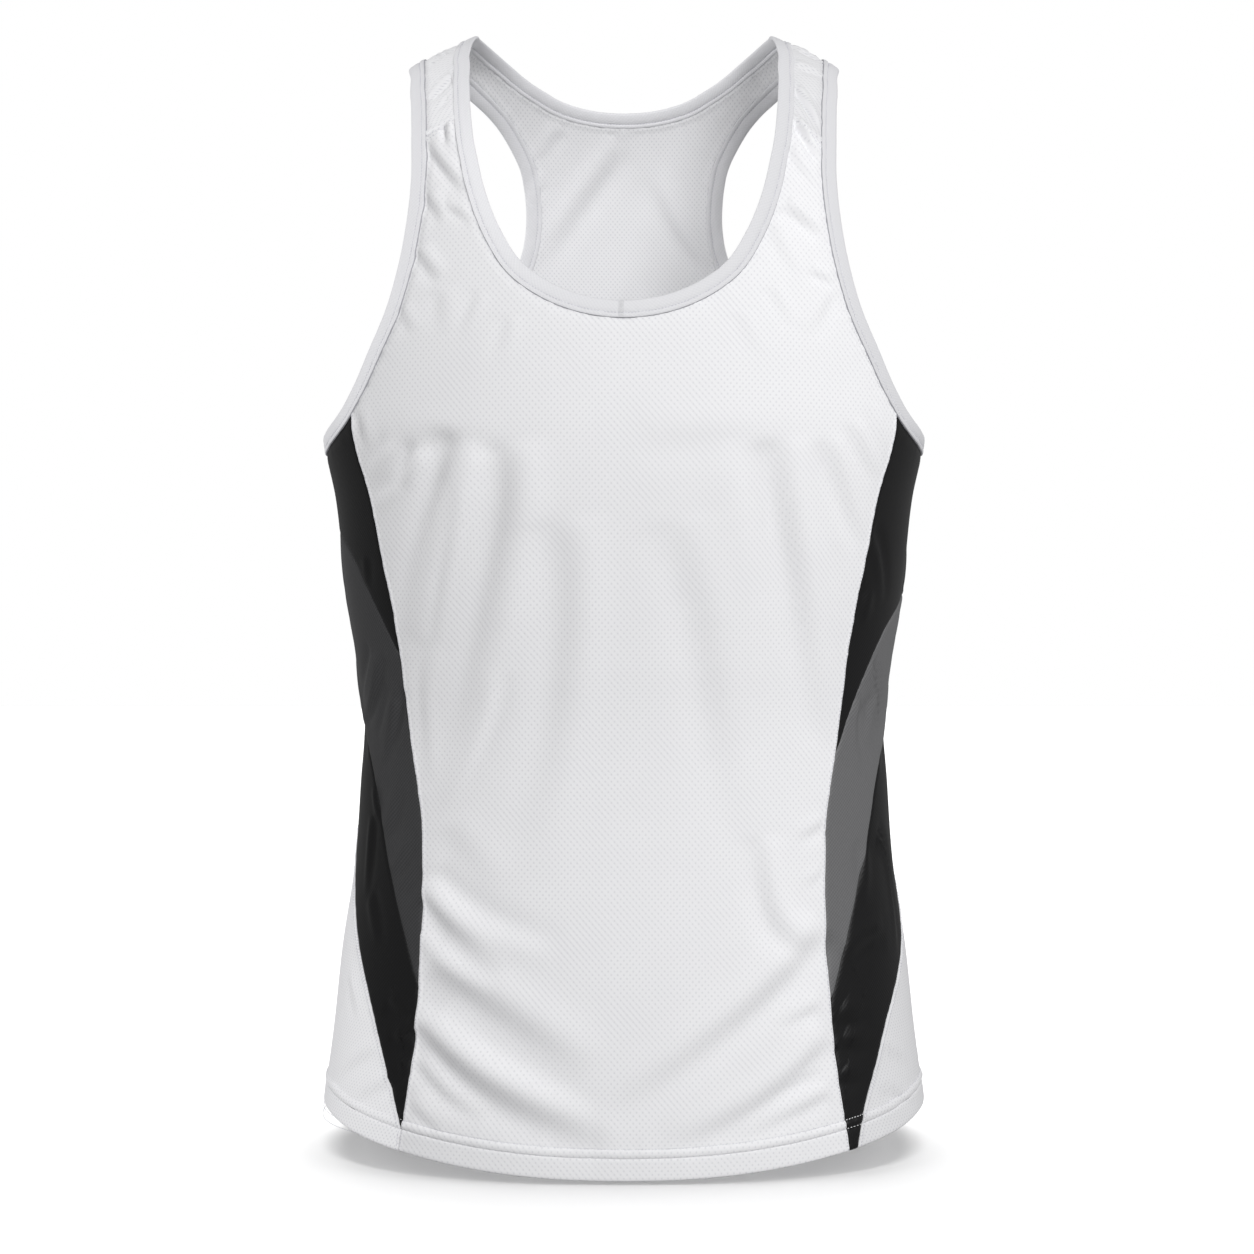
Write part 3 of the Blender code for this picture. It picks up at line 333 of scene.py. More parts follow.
def smooth(places, values, at):
    """Values of a smooth curve through a table column, at the places asked for."""
    gaps = np.diff(places)
    slopes = np.diff(values) / gaps
    bends = np.empty(len(values))
    bends[0] = slopes[0]
    bends[-1] = slopes[-1]
    bends[1:-1] = (slopes[:-1] * gaps[1:] + slopes[1:] * gaps[:-1]) / (gaps[1:] + gaps[:-1])
    at = np.clip(at, places[0], places[-1])
    row = np.clip(np.searchsorted(places, at) - 1, 0, len(gaps) - 1)
    share = (at - places[row]) / gaps[row]
    rise = values[row + 1] - values[row]
    start = bends[row] * gaps[row]
    end = bends[row + 1] * gaps[row]
    square = 3 * rise - 2 * start - end
    cube = start + end - 2 * rise
    return values[row] + share * (start + share * (square + share * cube))


def column(table, index):
    return np.array([row[index] for row in table], dtype=float)


def on_form(places):
    """The bare body form at (turn, height) places."""
    turn = places[..., 0] * DEG
    height = places[..., 1]
    levels = column(SLICES, 0)
    front = np.cos(turn) >= 0
    half_width = smooth(levels, column(SLICES, 1), height)

    def either(for_front, for_back):
        in_front = smooth(levels, column(SLICES, for_front), height)
        return np.where(front, in_front, smooth(levels, column(SLICES, for_back), height))

    depth = either(2, 3)
    square = either(4, 5)
    reach = (np.abs(np.sin(turn)) ** square + np.abs(np.cos(turn)) ** square) ** (-1 / square)
    return np.stack([half_width * reach * np.sin(turn), -depth * reach * np.cos(turn), height], axis=-1)


def slopes_of(surface, places):
    """How a surface moves per degree of turn and per metre of height."""
    turn_step = np.array([TURN_STEP, 0.0])
    height_step = np.array([0.0, HEIGHT_STEP])
    along_turn = (surface(places + turn_step) - surface(places - turn_step)) / (2 * TURN_STEP)
    along_height = (surface(places + height_step) - surface(places - height_step)) / (2 * HEIGHT_STEP)
    return along_turn, along_height


def outward(surface, places):
    along_turn, along_height = slopes_of(surface, places)
    normal = np.cross(along_turn, along_height)
    return normal / np.linalg.norm(normal, axis=-1, keepdims=True)


def fold_line(fold):
    """Places along one fold, a smooth arc through its three table places."""
    share = np.linspace(0.0, 1.0, FOLD_STEPS + 1)[:, None]
    start, middle, end = np.array(fold[0:2]), np.array(fold[2:4]), np.array(fold[4:6])
    pull = 2 * middle - (start + end) / 2
    return (1 - share) ** 2 * start + 2 * share * (1 - share) * pull + share ** 2 * end


def fold_lift(places):
    """How far the folds push the cloth out of the bare form."""
    lift = np.zeros(places.shape[:-1])
    for fold in FOLDS + WRINKLES:
        line = fold_line(fold)
        nearest = np.full(lift.shape, np.inf)
        along = np.zeros(lift.shape)
        leftward = np.zeros(lift.shape)
        for step in range(FOLD_STEPS):
            offset = places - line[step]
            across = (offset[..., 0] + 180.0) % 360.0 - 180.0
            east = across * DEG * FOLD_ARC
            span = (line[step + 1] - line[step]) * np.array([DEG * FOLD_ARC, 1.0])
            share = np.clip((east * span[0] + offset[..., 1] * span[1]) / (span @ span), 0.0, 1.0)
            apart = np.hypot(east - share * span[0], offset[..., 1] - share * span[1])
            closer = apart < nearest
            nearest = np.where(closer, apart, nearest)
            along = np.where(closer, (step + share) / FOLD_STEPS, along)
            turned = np.sign(span[0] * offset[..., 1] - span[1] * east)
            leftward = np.where(closer, turned, leftward)
        swell = np.sin(np.pi * np.clip(along, 0.0, 1.0) ** SWELL_LEAD) ** SWELL_FULLNESS
        slope = leftward * nearest / fold[6]
        lift += fold[7] * swell * STEP_PEAK * slope * np.exp(-slope ** 2)
    return lift


def lengths(curve):
    steps = np.linalg.norm(np.diff(on_form(curve), axis=0), axis=1)
    return np.concatenate([[0.0], np.cumsum(steps)])


def drawn(rows, closed=False):
    """A smooth curve through table rows, as many close places."""
    points = np.array(rows, dtype=float)
    if closed:
        points = np.concatenate([points[-3:], points, points[:4]])
    run = lengths(points)
    first, last = (3, -4) if closed else (0, -1)
    at = np.linspace(run[first], run[last], FINE * len(rows) + 1)
    return np.stack([smooth(run, points[:, 0], at), smooth(run, points[:, 1], at)], axis=1)


def mirrored(curve):
    return curve * np.array([-1.0, 1.0])


def beside(curve, distance, closed=False):
    """A curve moved sideways over the form: to its left, seen from outside, if distance is positive."""
    course = np.gradient(curve, axis=0)
    if closed:
        course[0] = course[-1] = curve[1] - curve[-2]
    along_turn, along_height = slopes_of(on_form, curve)
    tangent = along_turn * course[:, :1] + along_height * course[:, 1:]
    tangent /= np.linalg.norm(tangent, axis=1, keepdims=True)
    left = np.cross(outward(on_form, curve), tangent) * distance
    turn_turn = np.sum(along_turn * along_turn, axis=1)
    turn_height = np.sum(along_turn * along_height, axis=1)
    height_height = np.sum(along_height * along_height, axis=1)
    left_turn = np.sum(left * along_turn, axis=1)
    left_height = np.sum(left * along_height, axis=1)
    scale = turn_turn * height_height - turn_height ** 2
    shift_turn = (left_turn * height_height - left_height * turn_height) / scale
    shift_height = (left_height * turn_turn - left_turn * turn_height) / scale
    return curve + np.stack([shift_turn, shift_height], axis=1)


def crossing(first, second):
    """Where two curves cross: the position along each, in steps."""
    start = first[:-1, None, :]
    run = first[1:, None, :] - start
    other = second[None, :-1, :]
    other_run = second[None, 1:, :] - other
    across = run[..., 0] * other_run[..., 1] - run[..., 1] * other_run[..., 0]
    across = np.where(np.abs(across) < 1e-15, 1e-15, across)
    apart = other - start
    on_first = (apart[..., 0] * other_run[..., 1] - apart[..., 1] * other_run[..., 0]) / across
    on_second = (apart[..., 0] * run[..., 1] - apart[..., 1] * run[..., 0]) / across
    hits = (on_first >= 0) & (on_first <= 1) & (on_second >= 0) & (on_second <= 1)
    row, other_row = np.argwhere(hits)[0]
    return row + on_first[row, other_row], other_row + on_second[row, other_row]


def sample(curve, positions):
    """Places on a curve at fractional positions along it."""
    steps = np.arange(len(curve))
    return np.stack([np.interp(positions, steps, curve[:, axis]) for axis in (0, 1)], axis=1)


def stations(curve, start, end, count):
    """Positions from start to end with count equal steps of real length between them."""
    inside = np.arange(len(curve))
    low, high = min(start, end), max(start, end)
    positions = np.concatenate([[low], inside[(inside > low) & (inside < high)], [high]])
    run = lengths(sample(curve, positions))
    found = np.interp(np.linspace(0.0, run[-1], count + 1), run, positions)
    return found if start <= end else found[::-1]


def straight(start, end, count):
    share = np.linspace(0.0, 1.0, count + 1)[:, None]
    return (1 - share) * start + share * end


def hem_height(turn):
    return smooth(column(HEM, 0), column(HEM, 1), np.abs(turn))


def hem_line(start_turn, end_turn, count):
    turns = np.linspace(start_turn, end_turn, count + 1)
    return np.stack([turns, hem_height(turns)], axis=1)


def upright(turn, bottom, top, count):
    return straight(np.array([turn, bottom]), np.array([turn, top]), count)


def seams(side):
    """Every seam and edge of one half of the top, drawn at positive turns."""
    before = [(-turn, height) for turn, height in NECK[:0:-1]]
    beyond = [(360.0 - turn, height) for turn, height in NECK[-2:-5:-1]]
    front_seam = drawn(FRONT_SEAM)
    rear_seam = drawn(REAR_SEAM[side])
    front_turn = np.interp(rear_seam[:, 1], front_seam[:, 1], front_seam[:, 0])
    rear_seam[:, 0] = np.maximum(rear_seam[:, 0], front_turn)
    shoulder = straight(np.array(SHOULDER_SEAM[side][0]), np.array(SHOULDER_SEAM[side][1]), FINE)
    return {
        "neck": drawn(before + list(NECK) + beyond),
        "armhole": drawn(ARMHOLE, closed=True),
        "front_seam": front_seam,
        "rear_seam": rear_seam,
        "upper_cross": drawn(UPPER_CROSS_SEAM[side]),
        "lower_cross": drawn(LOWER_CROSS_SEAM[side]),
        "shoulder": shoulder,
        "front_centre": upright(0.0, -0.72, -0.10, 2),
        "back_centre": upright(180.0, -0.72, 0.01, 2),
        "hem": hem_line(0.0, 180.0, 18 * FINE),
        "racer_split": straight(np.array([150.0, -RACER_SPLIT]), np.array([178.0, -RACER_SPLIT]), 2),
    }


def foot(lines, front, rear):
    """The lower edge of the black piece: on the hem, or where the piece thins to a sliver above it."""
    heights = np.linspace(-0.60, -0.70, 401)
    front_turns = np.interp(heights, front[:, 1], front[:, 0])
    rear_turns = np.interp(heights, rear[:, 1], rear[:, 0])
    widths = (rear_turns - front_turns) * DEG * FOLD_ARC
    lowest = heights[widths > SLIVER][-1]
    on_hem = lines["hem"]
    level = np.maximum(on_hem[:, 1], lowest)
    return np.stack([on_hem[:, 0], level], axis=1)


# ---------------------------------------------------------------- fine grids

CELL = 0.0036           # usual size of a cell
BACK_CELL = 0.0046
STRAP_CELL = 0.0022
NEAR_EDGE = (0.0, 0.0004, 0.0009, 0.0015, 0.0022, 0.0029, 0.0036, 0.0046, 0.0060)
HEM_ROWS = (
    0.0, 0.0003, 0.0008, 0.0015, 0.0025, 0.0045, 0.0070, 0.0090, 0.0105, 0.0114, 0.0120, 0.0125, 0.0128,
    0.0132, 0.0138, 0.0147, 0.0156, 0.0165, 0.0172, 0.0177, 0.0181, 0.0187, 0.0198, 0.0220,
)


def paced(total, steps, near_start, near_end):
    """Distances from 0 to total in equal steps, with a set of fine steps at either end if asked."""
    start = np.array(NEAR_EDGE) if near_start else np.array([0.0])
    end = total - np.array(NEAR_EDGE)[::-1] if near_end else np.array([total])
    middle = np.linspace(start[-1], end[0], steps + 1)
    return np.concatenate([start[:-1], middle, end[1:]])


def portion(curve, start, end):
    """The part of a curve between two positions on it, running from start to end."""
    inside = np.arange(len(curve))
    low, high = min(start, end), max(start, end)
    inside = inside[(inside > low + 1e-9) & (inside < high - 1e-9)]
    positions = np.concatenate([[low], inside, [high]])
    part = sample(curve, positions)
    return part if start <= end else part[::-1]


def between(curve, start, end):
    """The part of a curve from where it crosses one curve to where it crosses another."""
    return portion(curve, crossing(curve, start)[0], crossing(curve, end)[0])


def run_along(curve, distances):
    run = lengths(curve)
    return np.stack([np.interp(distances, run, curve[:, axis]) for axis in (0, 1)], axis=1)


def rows_of(curve, steps, near_start=False, near_end=False):
    return run_along(curve, paced(lengths(curve)[-1], steps, near_start, near_end))


def rows_from_hem(curve, steps, near_end=False):
    """Rows up a side that starts on the hem, with the hem's own rows first."""
    run = lengths(curve)
    above = curve[:, 1] - hem_height(curve[:, 0])
    band = np.interp(HEM_ROWS, above, run)
    rest = paced(run[-1] - band[-1], steps, False, near_end) + band[-1]
    return run_along(curve, np.concatenate([band[:-1], rest]))


def mixed_ends(share, start, end):
    return (1 - share)[:, None] * start + share[:, None] * end


def fine_patch(bottom, top, left, right, steps, near_left=False, near_right=False):
    """A grid between four curves, its columns packed close beside the seams."""
    share = np.linspace(0.0, 1.0, 33)[:, None]
    rows = []
    up = (lengths(left) / lengths(left)[-1] + lengths(right) / lengths(right)[-1]) / 2
    for start, end, rise in zip(left, right, up):
        width = lengths((1 - share) * start + share * end)[-1]
        across = paced(width, steps, near_left, near_right) / width
        low = sample(bottom, across * (len(bottom) - 1)) - mixed_ends(across, bottom[0], bottom[-1])
        high = sample(top, across * (len(top) - 1)) - mixed_ends(across, top[0], top[-1])
        rows.append(mixed_ends(across, start, end) + (1 - rise) * low + rise * high)
    return np.stack(rows)


def steps_for(length, cell):
    return max(2, int(round(length / cell)))


def front_grids(side):
    """Fine grids of one half of the front: the body and its strap."""
    lines = seams(side)
    neck = beside(lines["neck"], TUCK - BINDING_WIDTH)
    armhole = beside(lines["armhole"], BINDING_WIDTH - TUCK, closed=True)
    side_seam = beside(lines["front_seam"], GAP / 2)
    shoulder = beside(lines["shoulder"], GAP / 2)
    inner = between(neck, lines["front_centre"], shoulder)
    outer = between(armhole, side_seam, shoulder)
    seam = between(side_seam, lines["hem"], armhole)
    hem = hem_line(0.0, seam[0, 0], 60)
    middle = straight(hem[0], inner[0], 200)
    row = straight(inner[0], outer[0], 2)
    body_steps = steps_for(lengths(seam)[-1], CELL)
    strap_steps = steps_for(lengths(outer)[-1], STRAP_CELL)
    columns = steps_for(lengths(hem)[-1], CELL)
    body = fine_patch(hem, row, rows_from_hem(middle, body_steps), rows_from_hem(seam, body_steps),
                      columns, near_right=True)
    strap = fine_patch(row, straight(inner[-1], outer[-1], 2), rows_of(inner, strap_steps, near_end=True),
                       rows_of(outer, strap_steps, near_end=True), columns, near_right=True)
    return [body, strap]


def back_grids(side):
    """Fine grids of one half of the back: the body, the racerback yoke and the strap."""
    lines = seams(side)
    neck = beside(lines["neck"], TUCK - BINDING_WIDTH)
    armhole = beside(lines["armhole"], BINDING_WIDTH - TUCK, closed=True)
    side_seam = beside(lines["rear_seam"], -GAP / 2)
    shoulder = beside(lines["shoulder"], -GAP / 2)
    inner = between(neck, lines["back_centre"], shoulder)
    racer = crossing(armhole, lines["racer_split"])[0]
    outer = portion(armhole, racer, crossing(armhole, shoulder)[0])
    yoke_side = portion(armhole, crossing(armhole, side_seam)[0], racer)
    seam = between(side_seam, lines["hem"], armhole)
    hem = hem_line(180.0, seam[0, 0], 90)
    split = np.array([180.0, -YOKE_SPLIT])
    middle = straight(hem[0], split, 200)
    yoke_middle = straight(split, inner[0], 60)
    yoke_row = straight(split, yoke_side[0], 2)
    racer_row = straight(inner[0], outer[0], 2)
    columns = steps_for(lengths(hem)[-1], BACK_CELL)
    body_steps = steps_for(lengths(seam)[-1], BACK_CELL)
    yoke_steps = steps_for(lengths(yoke_side)[-1], BACK_CELL)
    strap_steps = steps_for(lengths(outer)[-1], STRAP_CELL)
    body = fine_patch(hem, yoke_row, rows_from_hem(middle, body_steps), rows_from_hem(seam, body_steps),
                      columns, near_right=True)
    yoke = fine_patch(yoke_row, racer_row, rows_of(yoke_middle, yoke_steps), rows_of(yoke_side, yoke_steps),
                      columns, near_right=True)
    strap = fine_patch(racer_row, straight(inner[-1], outer[-1], 2),
                       rows_of(inner, strap_steps, near_end=True),
                       rows_of(outer, strap_steps, near_end=True),
                       columns, near_right=True)
    return [body, yoke, strap]


def under_arm(lines, front, rear):
    """The armhole's lowest part, from the front seam under the arm to the rear seam."""
    armhole = beside(lines["armhole"], BINDING_WIDTH - TUCK, closed=True)
    lap = len(armhole) - 1
    twice = np.concatenate([armhole, armhole[1:]])
    return portion(twice, crossing(armhole, front)[0] + lap, crossing(armhole, rear)[0])


def along_seam(seam, start, end):
    """The part of a seam between two places on it."""
    at = np.interp([start[1], end[1]], seam[:, 1], np.arange(len(seam)))
    part = portion(seam, at[0], at[1])
    part[0], part[-1] = start, end
    return part


def insert_grids(side, part):
    """Fine grid of one piece of a side insert, from the front seam to the rear seam."""
    lines = seams(side)
    front = beside(lines["front_seam"], -GAP / 2)
    rear = beside(lines["rear_seam"], GAP / 2)
    floors = {"upper": lines["upper_cross"], "grey": lines["lower_cross"]}
    ceilings = {"grey": lines["upper_cross"], "lower": lines["lower_cross"]}
    floor = beside(floors[part], GAP / 2) if part in floors else foot(lines, front, rear)
    bottom = between(floor, front, rear)
    if part in ceilings:
        ceiling = beside(ceilings[part], -GAP / 2)
        top = between(ceiling, front, rear)
    else:
        top = under_arm(lines, front, rear)
    left = along_seam(front, bottom[0], top[0])
    right = along_seam(rear, bottom[-1], top[-1])
    on_hem = bottom[0, 1] - hem_height(bottom[0, 0]) < 0.0005
    steps = steps_for(max(lengths(left)[-1], lengths(right)[-1]), CELL)
    if on_hem:
        sides = rows_from_hem(left, steps, near_end=True), rows_from_hem(right, steps, near_end=True)
    else:
        sides = rows_of(left, steps, True, True), rows_of(right, steps, True, True)
    columns = steps_for(lengths(top)[-1], CELL)
    even = evened(bottom, 60), evened(top, 60)
    return [fine_patch(even[0], even[1], sides[0], sides[1], columns, True, True)]


def evened(curve, count):
    return sample(curve, stations(curve, 0, len(curve) - 1, count))


def to_side(grids, side):
    return [mirrored(grid) for grid in grids] if side == "L" else grids


def quads_of(grid):
    """Faces of a grid, turned so that they face out of the body."""
    rows, columns = grid.shape[:2]
    index = np.arange(rows * columns).reshape(rows, columns)
    corners = [index[:-1, :-1], index[:-1, 1:], index[1:, 1:], index[1:, :-1]]
    quads = np.stack(corners, axis=-1).reshape(-1, 4)
    points = on_form(grid.reshape(-1, 2))
    sides = np.cross(points[quads[:, 1]] - points[quads[:, 0]], points[quads[:, 3]] - points[quads[:, 0]])
    facing = np.sum(sides * outward(on_form, grid.reshape(-1, 2))[quads[:, 0]])
    return quads if facing > 0 else quads[:, ::-1]


def joined(grids):
    """Places and faces of several grids sewn into one sheet wherever their edges touch."""
    places = np.concatenate([grid.reshape(-1, 2) for grid in grids])
    quads = []
    offset = 0
    for grid in grids:
        quads.append(quads_of(grid) + offset)
        offset += grid.shape[0] * grid.shape[1]
    keys = np.round(on_form(places) * 1e6).astype(int)
    _, first, same = np.unique(keys, axis=0, return_index=True, return_inverse=True)
    return places[first], same.reshape(-1)[np.concatenate(quads)]


# ---------------------------------------------------------------- relief beside seams

# distance from the seam, how far the cloth stands out there
ROLLED_EDGE = ((0.0, -0.0008), (0.0003, -0.0003), (0.0007, 0.0003), (0.0012, 0.0005), (0.0018, 0.0003),
               (0.0026, 0.0), (0.0080, 0.0))
PLAIN_EDGE = ((0.0, -0.0009), (0.0004, -0.0005), (0.0010, -0.0002), (0.0022, 0.0), (0.0080, 0.0))
SHOULDER_EDGE = ((0.0, -0.0007), (0.0003, -0.0002), (0.0008, 0.0005), (0.0030, 0.0006), (0.0036, 0.0002),
                 (0.0042, -0.0001), (0.0052, 0.0), (0.0080, 0.0))
BOUND_EDGE = ((0.0, -0.0004), (0.0016, -0.0005), (0.0022, -0.0003), (0.0045, 0.0), (0.0080, 0.0))
HEM_EDGE = (
    (0.0, -0.0002), (0.0004, 0.0002), (0.0015, 0.0004), (0.0113, 0.0005), (0.0122, 0.0003),
    (0.0128, -0.0002), (0.0134, 0.0006), (0.0153, 0.0012), (0.0171, 0.0008), (0.0178, -0.0002),
    (0.0186, -0.0001), (0.0250, 0.0),
)
PUCKER_REACH = 0.006
HEM_PUCKER = (0.0004, 0.008)        # depth and reach
BINDING_PUCKER = 0.0002
FINE_STEP = 0.0005
WAVES = ((0.0071, 0.0, 1.0), (0.0107, 1.3, 0.8), (0.0173, 4.1, 0.9))     # length, start, weight
WAVE_SUM = 2.7          # all the weights


def pucker(run, apart, depth, reach=PUCKER_REACH):
    """Small gathers along a row of stitches, dying away from it."""
    wave = sum(weight * np.sin(2 * np.pi * run / length + start) for length, start, weight in WAVES)
    return depth * wave / WAVE_SUM * np.exp(-apart / reach)


def measured(points, edge):
    """Distance of each point from an edge, and how far along the edge its nearest point is."""
    tree = kdtree.KDTree(len(edge))
    for index, point in enumerate(edge):
        tree.insert(point, index)
    tree.balance()
    found = [tree.find(point) for point in points]
    run = np.concatenate([[0.0], np.cumsum(np.linalg.norm(np.diff(edge, axis=0), axis=1))])
    return np.array([item[2] for item in found]), run[[item[1] for item in found]]


def relief(places, edges):
    """How far seams and hems make the cloth stand out of the folded form."""
    points = on_form(places)
    lift = np.zeros(len(points))
    for edge, profile, depth in edges:
        apart, run = measured(points, on_form(edge))
        lift += np.interp(apart, column(profile, 0), column(profile, 1))
        lift += pucker(run, apart, depth)
    return lift


def hem_relief(places):
    above = places[:, 1] - hem_height(places[:, 0])
    run = places[:, 0] * DEG * FOLD_ARC
    lift = np.interp(above, column(HEM_EDGE, 0), column(HEM_EDGE, 1))
    return lift + pucker(run, np.abs(above - HEM_TOP), *HEM_PUCKER)


def fine(curve):
    """A curve at half-millimetre steps."""
    return evened(curve, int(lengths(curve)[-1] / FINE_STEP))


def sides_of(curves, flip):
    return [(flip(fine(curve)), profile, depth) for curve, profile, depth in curves]


def panel_edges(name):
    """The seams and bindings that shape the cloth of a panel near its borders."""
    edges = []
    for side in ("L", "R"):
        flip = mirrored if side == "L" else np.asarray
        lines = seams(side)
        armhole = beside(lines["armhole"], BINDING_WIDTH, closed=True)
        neck = beside(lines["neck"], -BINDING_WIDTH)
        half = between(neck, lines["front_centre"], lines["back_centre"])
        seam = lines["front_seam" if name == "front" else "rear_seam"]
        edges += sides_of([
            (armhole, BOUND_EDGE, 0.0004),
            (half, BOUND_EDGE, 0.0004),
            (seam, ROLLED_EDGE, 0.0003),
            (lines["shoulder"], SHOULDER_EDGE, 0.0002),
        ], flip)
    return edges


def insert_edges(side, part):
    flip = mirrored if side == "L" else np.asarray
    lines = seams(side)
    armhole = beside(lines["armhole"], BINDING_WIDTH, closed=True)
    curves = [(lines["front_seam"], PLAIN_EDGE, 0.0002), (lines["rear_seam"], PLAIN_EDGE, 0.0002)]
    if part == "upper":
        curves.append((armhole, BOUND_EDGE, 0.0003))
    if part in ("upper", "grey"):
        curves.append((lines["upper_cross"], PLAIN_EDGE, 0.0001))
    if part in ("grey", "lower"):
        curves.append((lines["lower_cross"], PLAIN_EDGE, 0.0001))
    return sides_of(curves, flip)


# ---------------------------------------------------------------- cloth shells

def flat_table():
    """Lengths of cloth round each level of the form, for laying the knit flat."""
    heights = np.linspace(-0.71, 0.02, 120)
    turns = np.linspace(0.0, 180.0, 181)
    grid = np.stack(np.meshgrid(turns, heights), axis=-1)
    steps = np.linalg.norm(np.diff(on_form(grid), axis=1), axis=2)
    round_body = np.concatenate([np.zeros((len(heights), 1)), np.cumsum(steps, axis=1)], axis=1)
    return heights, round_body


FLAT = flat_table()


def laid_flat(places, from_back):
    """Flat position of cloth places in metres: across from the piece's own centre line, and up."""
    heights, round_body = FLAT
    turn = np.clip(np.abs(places[:, 0]), 0, 179.999)
    row = np.clip((places[:, 1] - heights[0]) / (heights[1] - heights[0]), 0, len(heights) - 1.001)
    low, share = row.astype(int), row - row.astype(int)
    whole, part = turn.astype(int), turn - turn.astype(int)
    near = round_body[low, whole] * (1 - part) + round_body[low, whole + 1] * part
    far = round_body[low + 1, whole] * (1 - part) + round_body[low + 1, whole + 1] * part
    across = near * (1 - share) + far * share
    if from_back:
        across = round_body[low, -1] * (1 - share) + round_body[low + 1, -1] * share - across
    return np.stack([np.sign(places[:, 0]) * across, places[:, 1]], axis=1)


def face_normals_at(points, quads):
    sides = np.cross(points[quads[:, 2]] - points[quads[:, 0]], points[quads[:, 3]] - points[quads[:, 1]])
    total = np.zeros_like(points)
    for corner in range(4):
        np.add.at(total, quads[:, corner], sides)
    return total / np.maximum(np.linalg.norm(total, axis=1, keepdims=True), 1e-12)


def rim_of(quads):
    edges = np.concatenate([quads[:, [k, (k + 1) % 4]] for k in range(4)])
    seen = {tuple(edge) for edge in edges}
    return [edge for edge in edges if (edge[1], edge[0]) not in seen]


def mesh_piece(name, points, faces, material, flat=None):
    mesh = bpy.data.meshes.new(name)
    mesh.from_pydata(points.tolist(), [], faces)
    mesh.update()
    if flat is not None:
        layer = mesh.uv_layers.new(name="cloth")
        corner = np.empty(len(mesh.loops), dtype=np.int32)
        mesh.loops.foreach_get("vertex_index", corner)
        layer.data.foreach_set("uv", flat[corner].astype(np.float32).ravel())
    mesh.polygons.foreach_set("use_smooth", np.ones(len(mesh.polygons), dtype=bool))
    piece = bpy.data.objects.new(name, mesh)
    mesh.materials.append(material)
    bpy.context.scene.collection.objects.link(piece)
    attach(piece, BODY)
    return piece


def shell(name, grids, lift, material, ply=PLY):
    """A closed shell of cloth over the folded form, with its seam relief."""
    places, quads = joined(grids)
    normal = outward(on_form, places)
    middle = on_form(places) + normal * (fold_lift(places) + lift(places))[:, None]
    across = face_normals_at(middle, quads)
    points = np.concatenate([middle + across * ply / 2, middle - across * ply / 2])
    count = len(places)
    faces = [tuple(quad) for quad in quads.tolist()]
    faces += [tuple(v + count for v in quad[::-1]) for quad in quads.tolist()]
    faces += [(int(b), int(a), int(a) + count, int(b) + count) for a, b in rim_of(quads)]
    flat = laid_flat(places, name.startswith("back"))
    return mesh_piece(name, points, faces, material, np.concatenate([flat, flat]))


# ---------------------------------------------------------------- bindings and stitches

# across from the open edge, out of the middle of the cloth; a closed section seen end on
BINDING_SECTION = (
    (0.0000, 0.0000), (0.0002, 0.0006), (0.0008, 0.0010), (0.0022, 0.0012), (0.0046, 0.0012),
    (0.0066, 0.0011), (0.0073, 0.0008), (0.0076, 0.0006), (0.0079, 0.0008), (0.0084, 0.0012),
    (0.0092, 0.0013), (0.0100, 0.0012), (0.0105, 0.0009), (0.0108, 0.0002), (0.0108, -0.0004),
    (0.0105, -0.0011), (0.0100, -0.0015), (0.0084, -0.0015), (0.0079, -0.0011), (0.0076, -0.0009),
    (0.0073, -0.0011), (0.0066, -0.0014), (0.0040, -0.0015), (0.0012, -0.0012), (0.0003, -0.0007),
)
BINDING_EDGE = (12, 13, 14)     # the steps of the section that turn down on to the cloth
BINDING_STITCH = 0.0076
BINDING_THREADS = (0.0007, -0.0010)     # how far out the stitches lie, on the outer and the inner face
BINDING_STEP = 0.0030
RAISED_THREAD = 0.0009      # twice how far the hem's threads stand out of the side inserts


def beside_loop(edge, distance):
    """A closed edge moved sideways, also when it runs once round from 0 to 360 degrees."""
    lap = edge[-1] - edge[0]
    longer = np.concatenate([edge[-4:-1] - lap, edge, edge[1:4] + lap])
    return beside(longer, distance)[3:-3]


def binding(name, edge, sign, material, shade):
    """A folded binding swept round a whole opening, darker where its inner edge meets the cloth: a painted
    shadow in a material of its own.
    """
    count = int(lengths(edge)[-1] / BINDING_STEP)
    positions = stations(edge, 0, len(edge) - 1, count)[:-1]
    lines = []
    for across, out in BINDING_SECTION:
        places = sample(beside_loop(edge, sign * across), positions)
        run = np.linspace(0.0, lengths(edge)[-1], count, endpoint=False)
        from_stitches = np.full(count, abs(across - BINDING_STITCH))
        lift = fold_lift(places) + out + pucker(run, from_stitches, BINDING_PUCKER)
        lines.append(on_form(places) + outward(on_form, places) * lift[:, None])
    points = np.stack(lines, axis=1).reshape(-1, 3)
    width = len(BINDING_SECTION)
    faces = []
    for row in range(count):
        low = row * width
        high = (row + 1) % count * width
        for item in range(width):
            beyond = (item + 1) % width
            faces.append((low + item, low + beyond, high + beyond, high + item))
    run = np.repeat(np.linspace(0.0, lengths(edge)[-1], count, endpoint=False), width)
    flat = np.stack([run, np.tile(column(BINDING_SECTION, 0), count)], axis=1)
    piece = mesh_piece(name, points, faces, material, flat)
    # The turned-down steps take the second material: painted shadow where the binding meets the cloth.
    piece.data.materials.append(shade)
    step = np.tile(np.arange(width), count)
    piece.data.polygons.foreach_set("material_index", np.isin(step, BINDING_EDGE).astype(np.int32))
    turned_out(piece)
    return piece


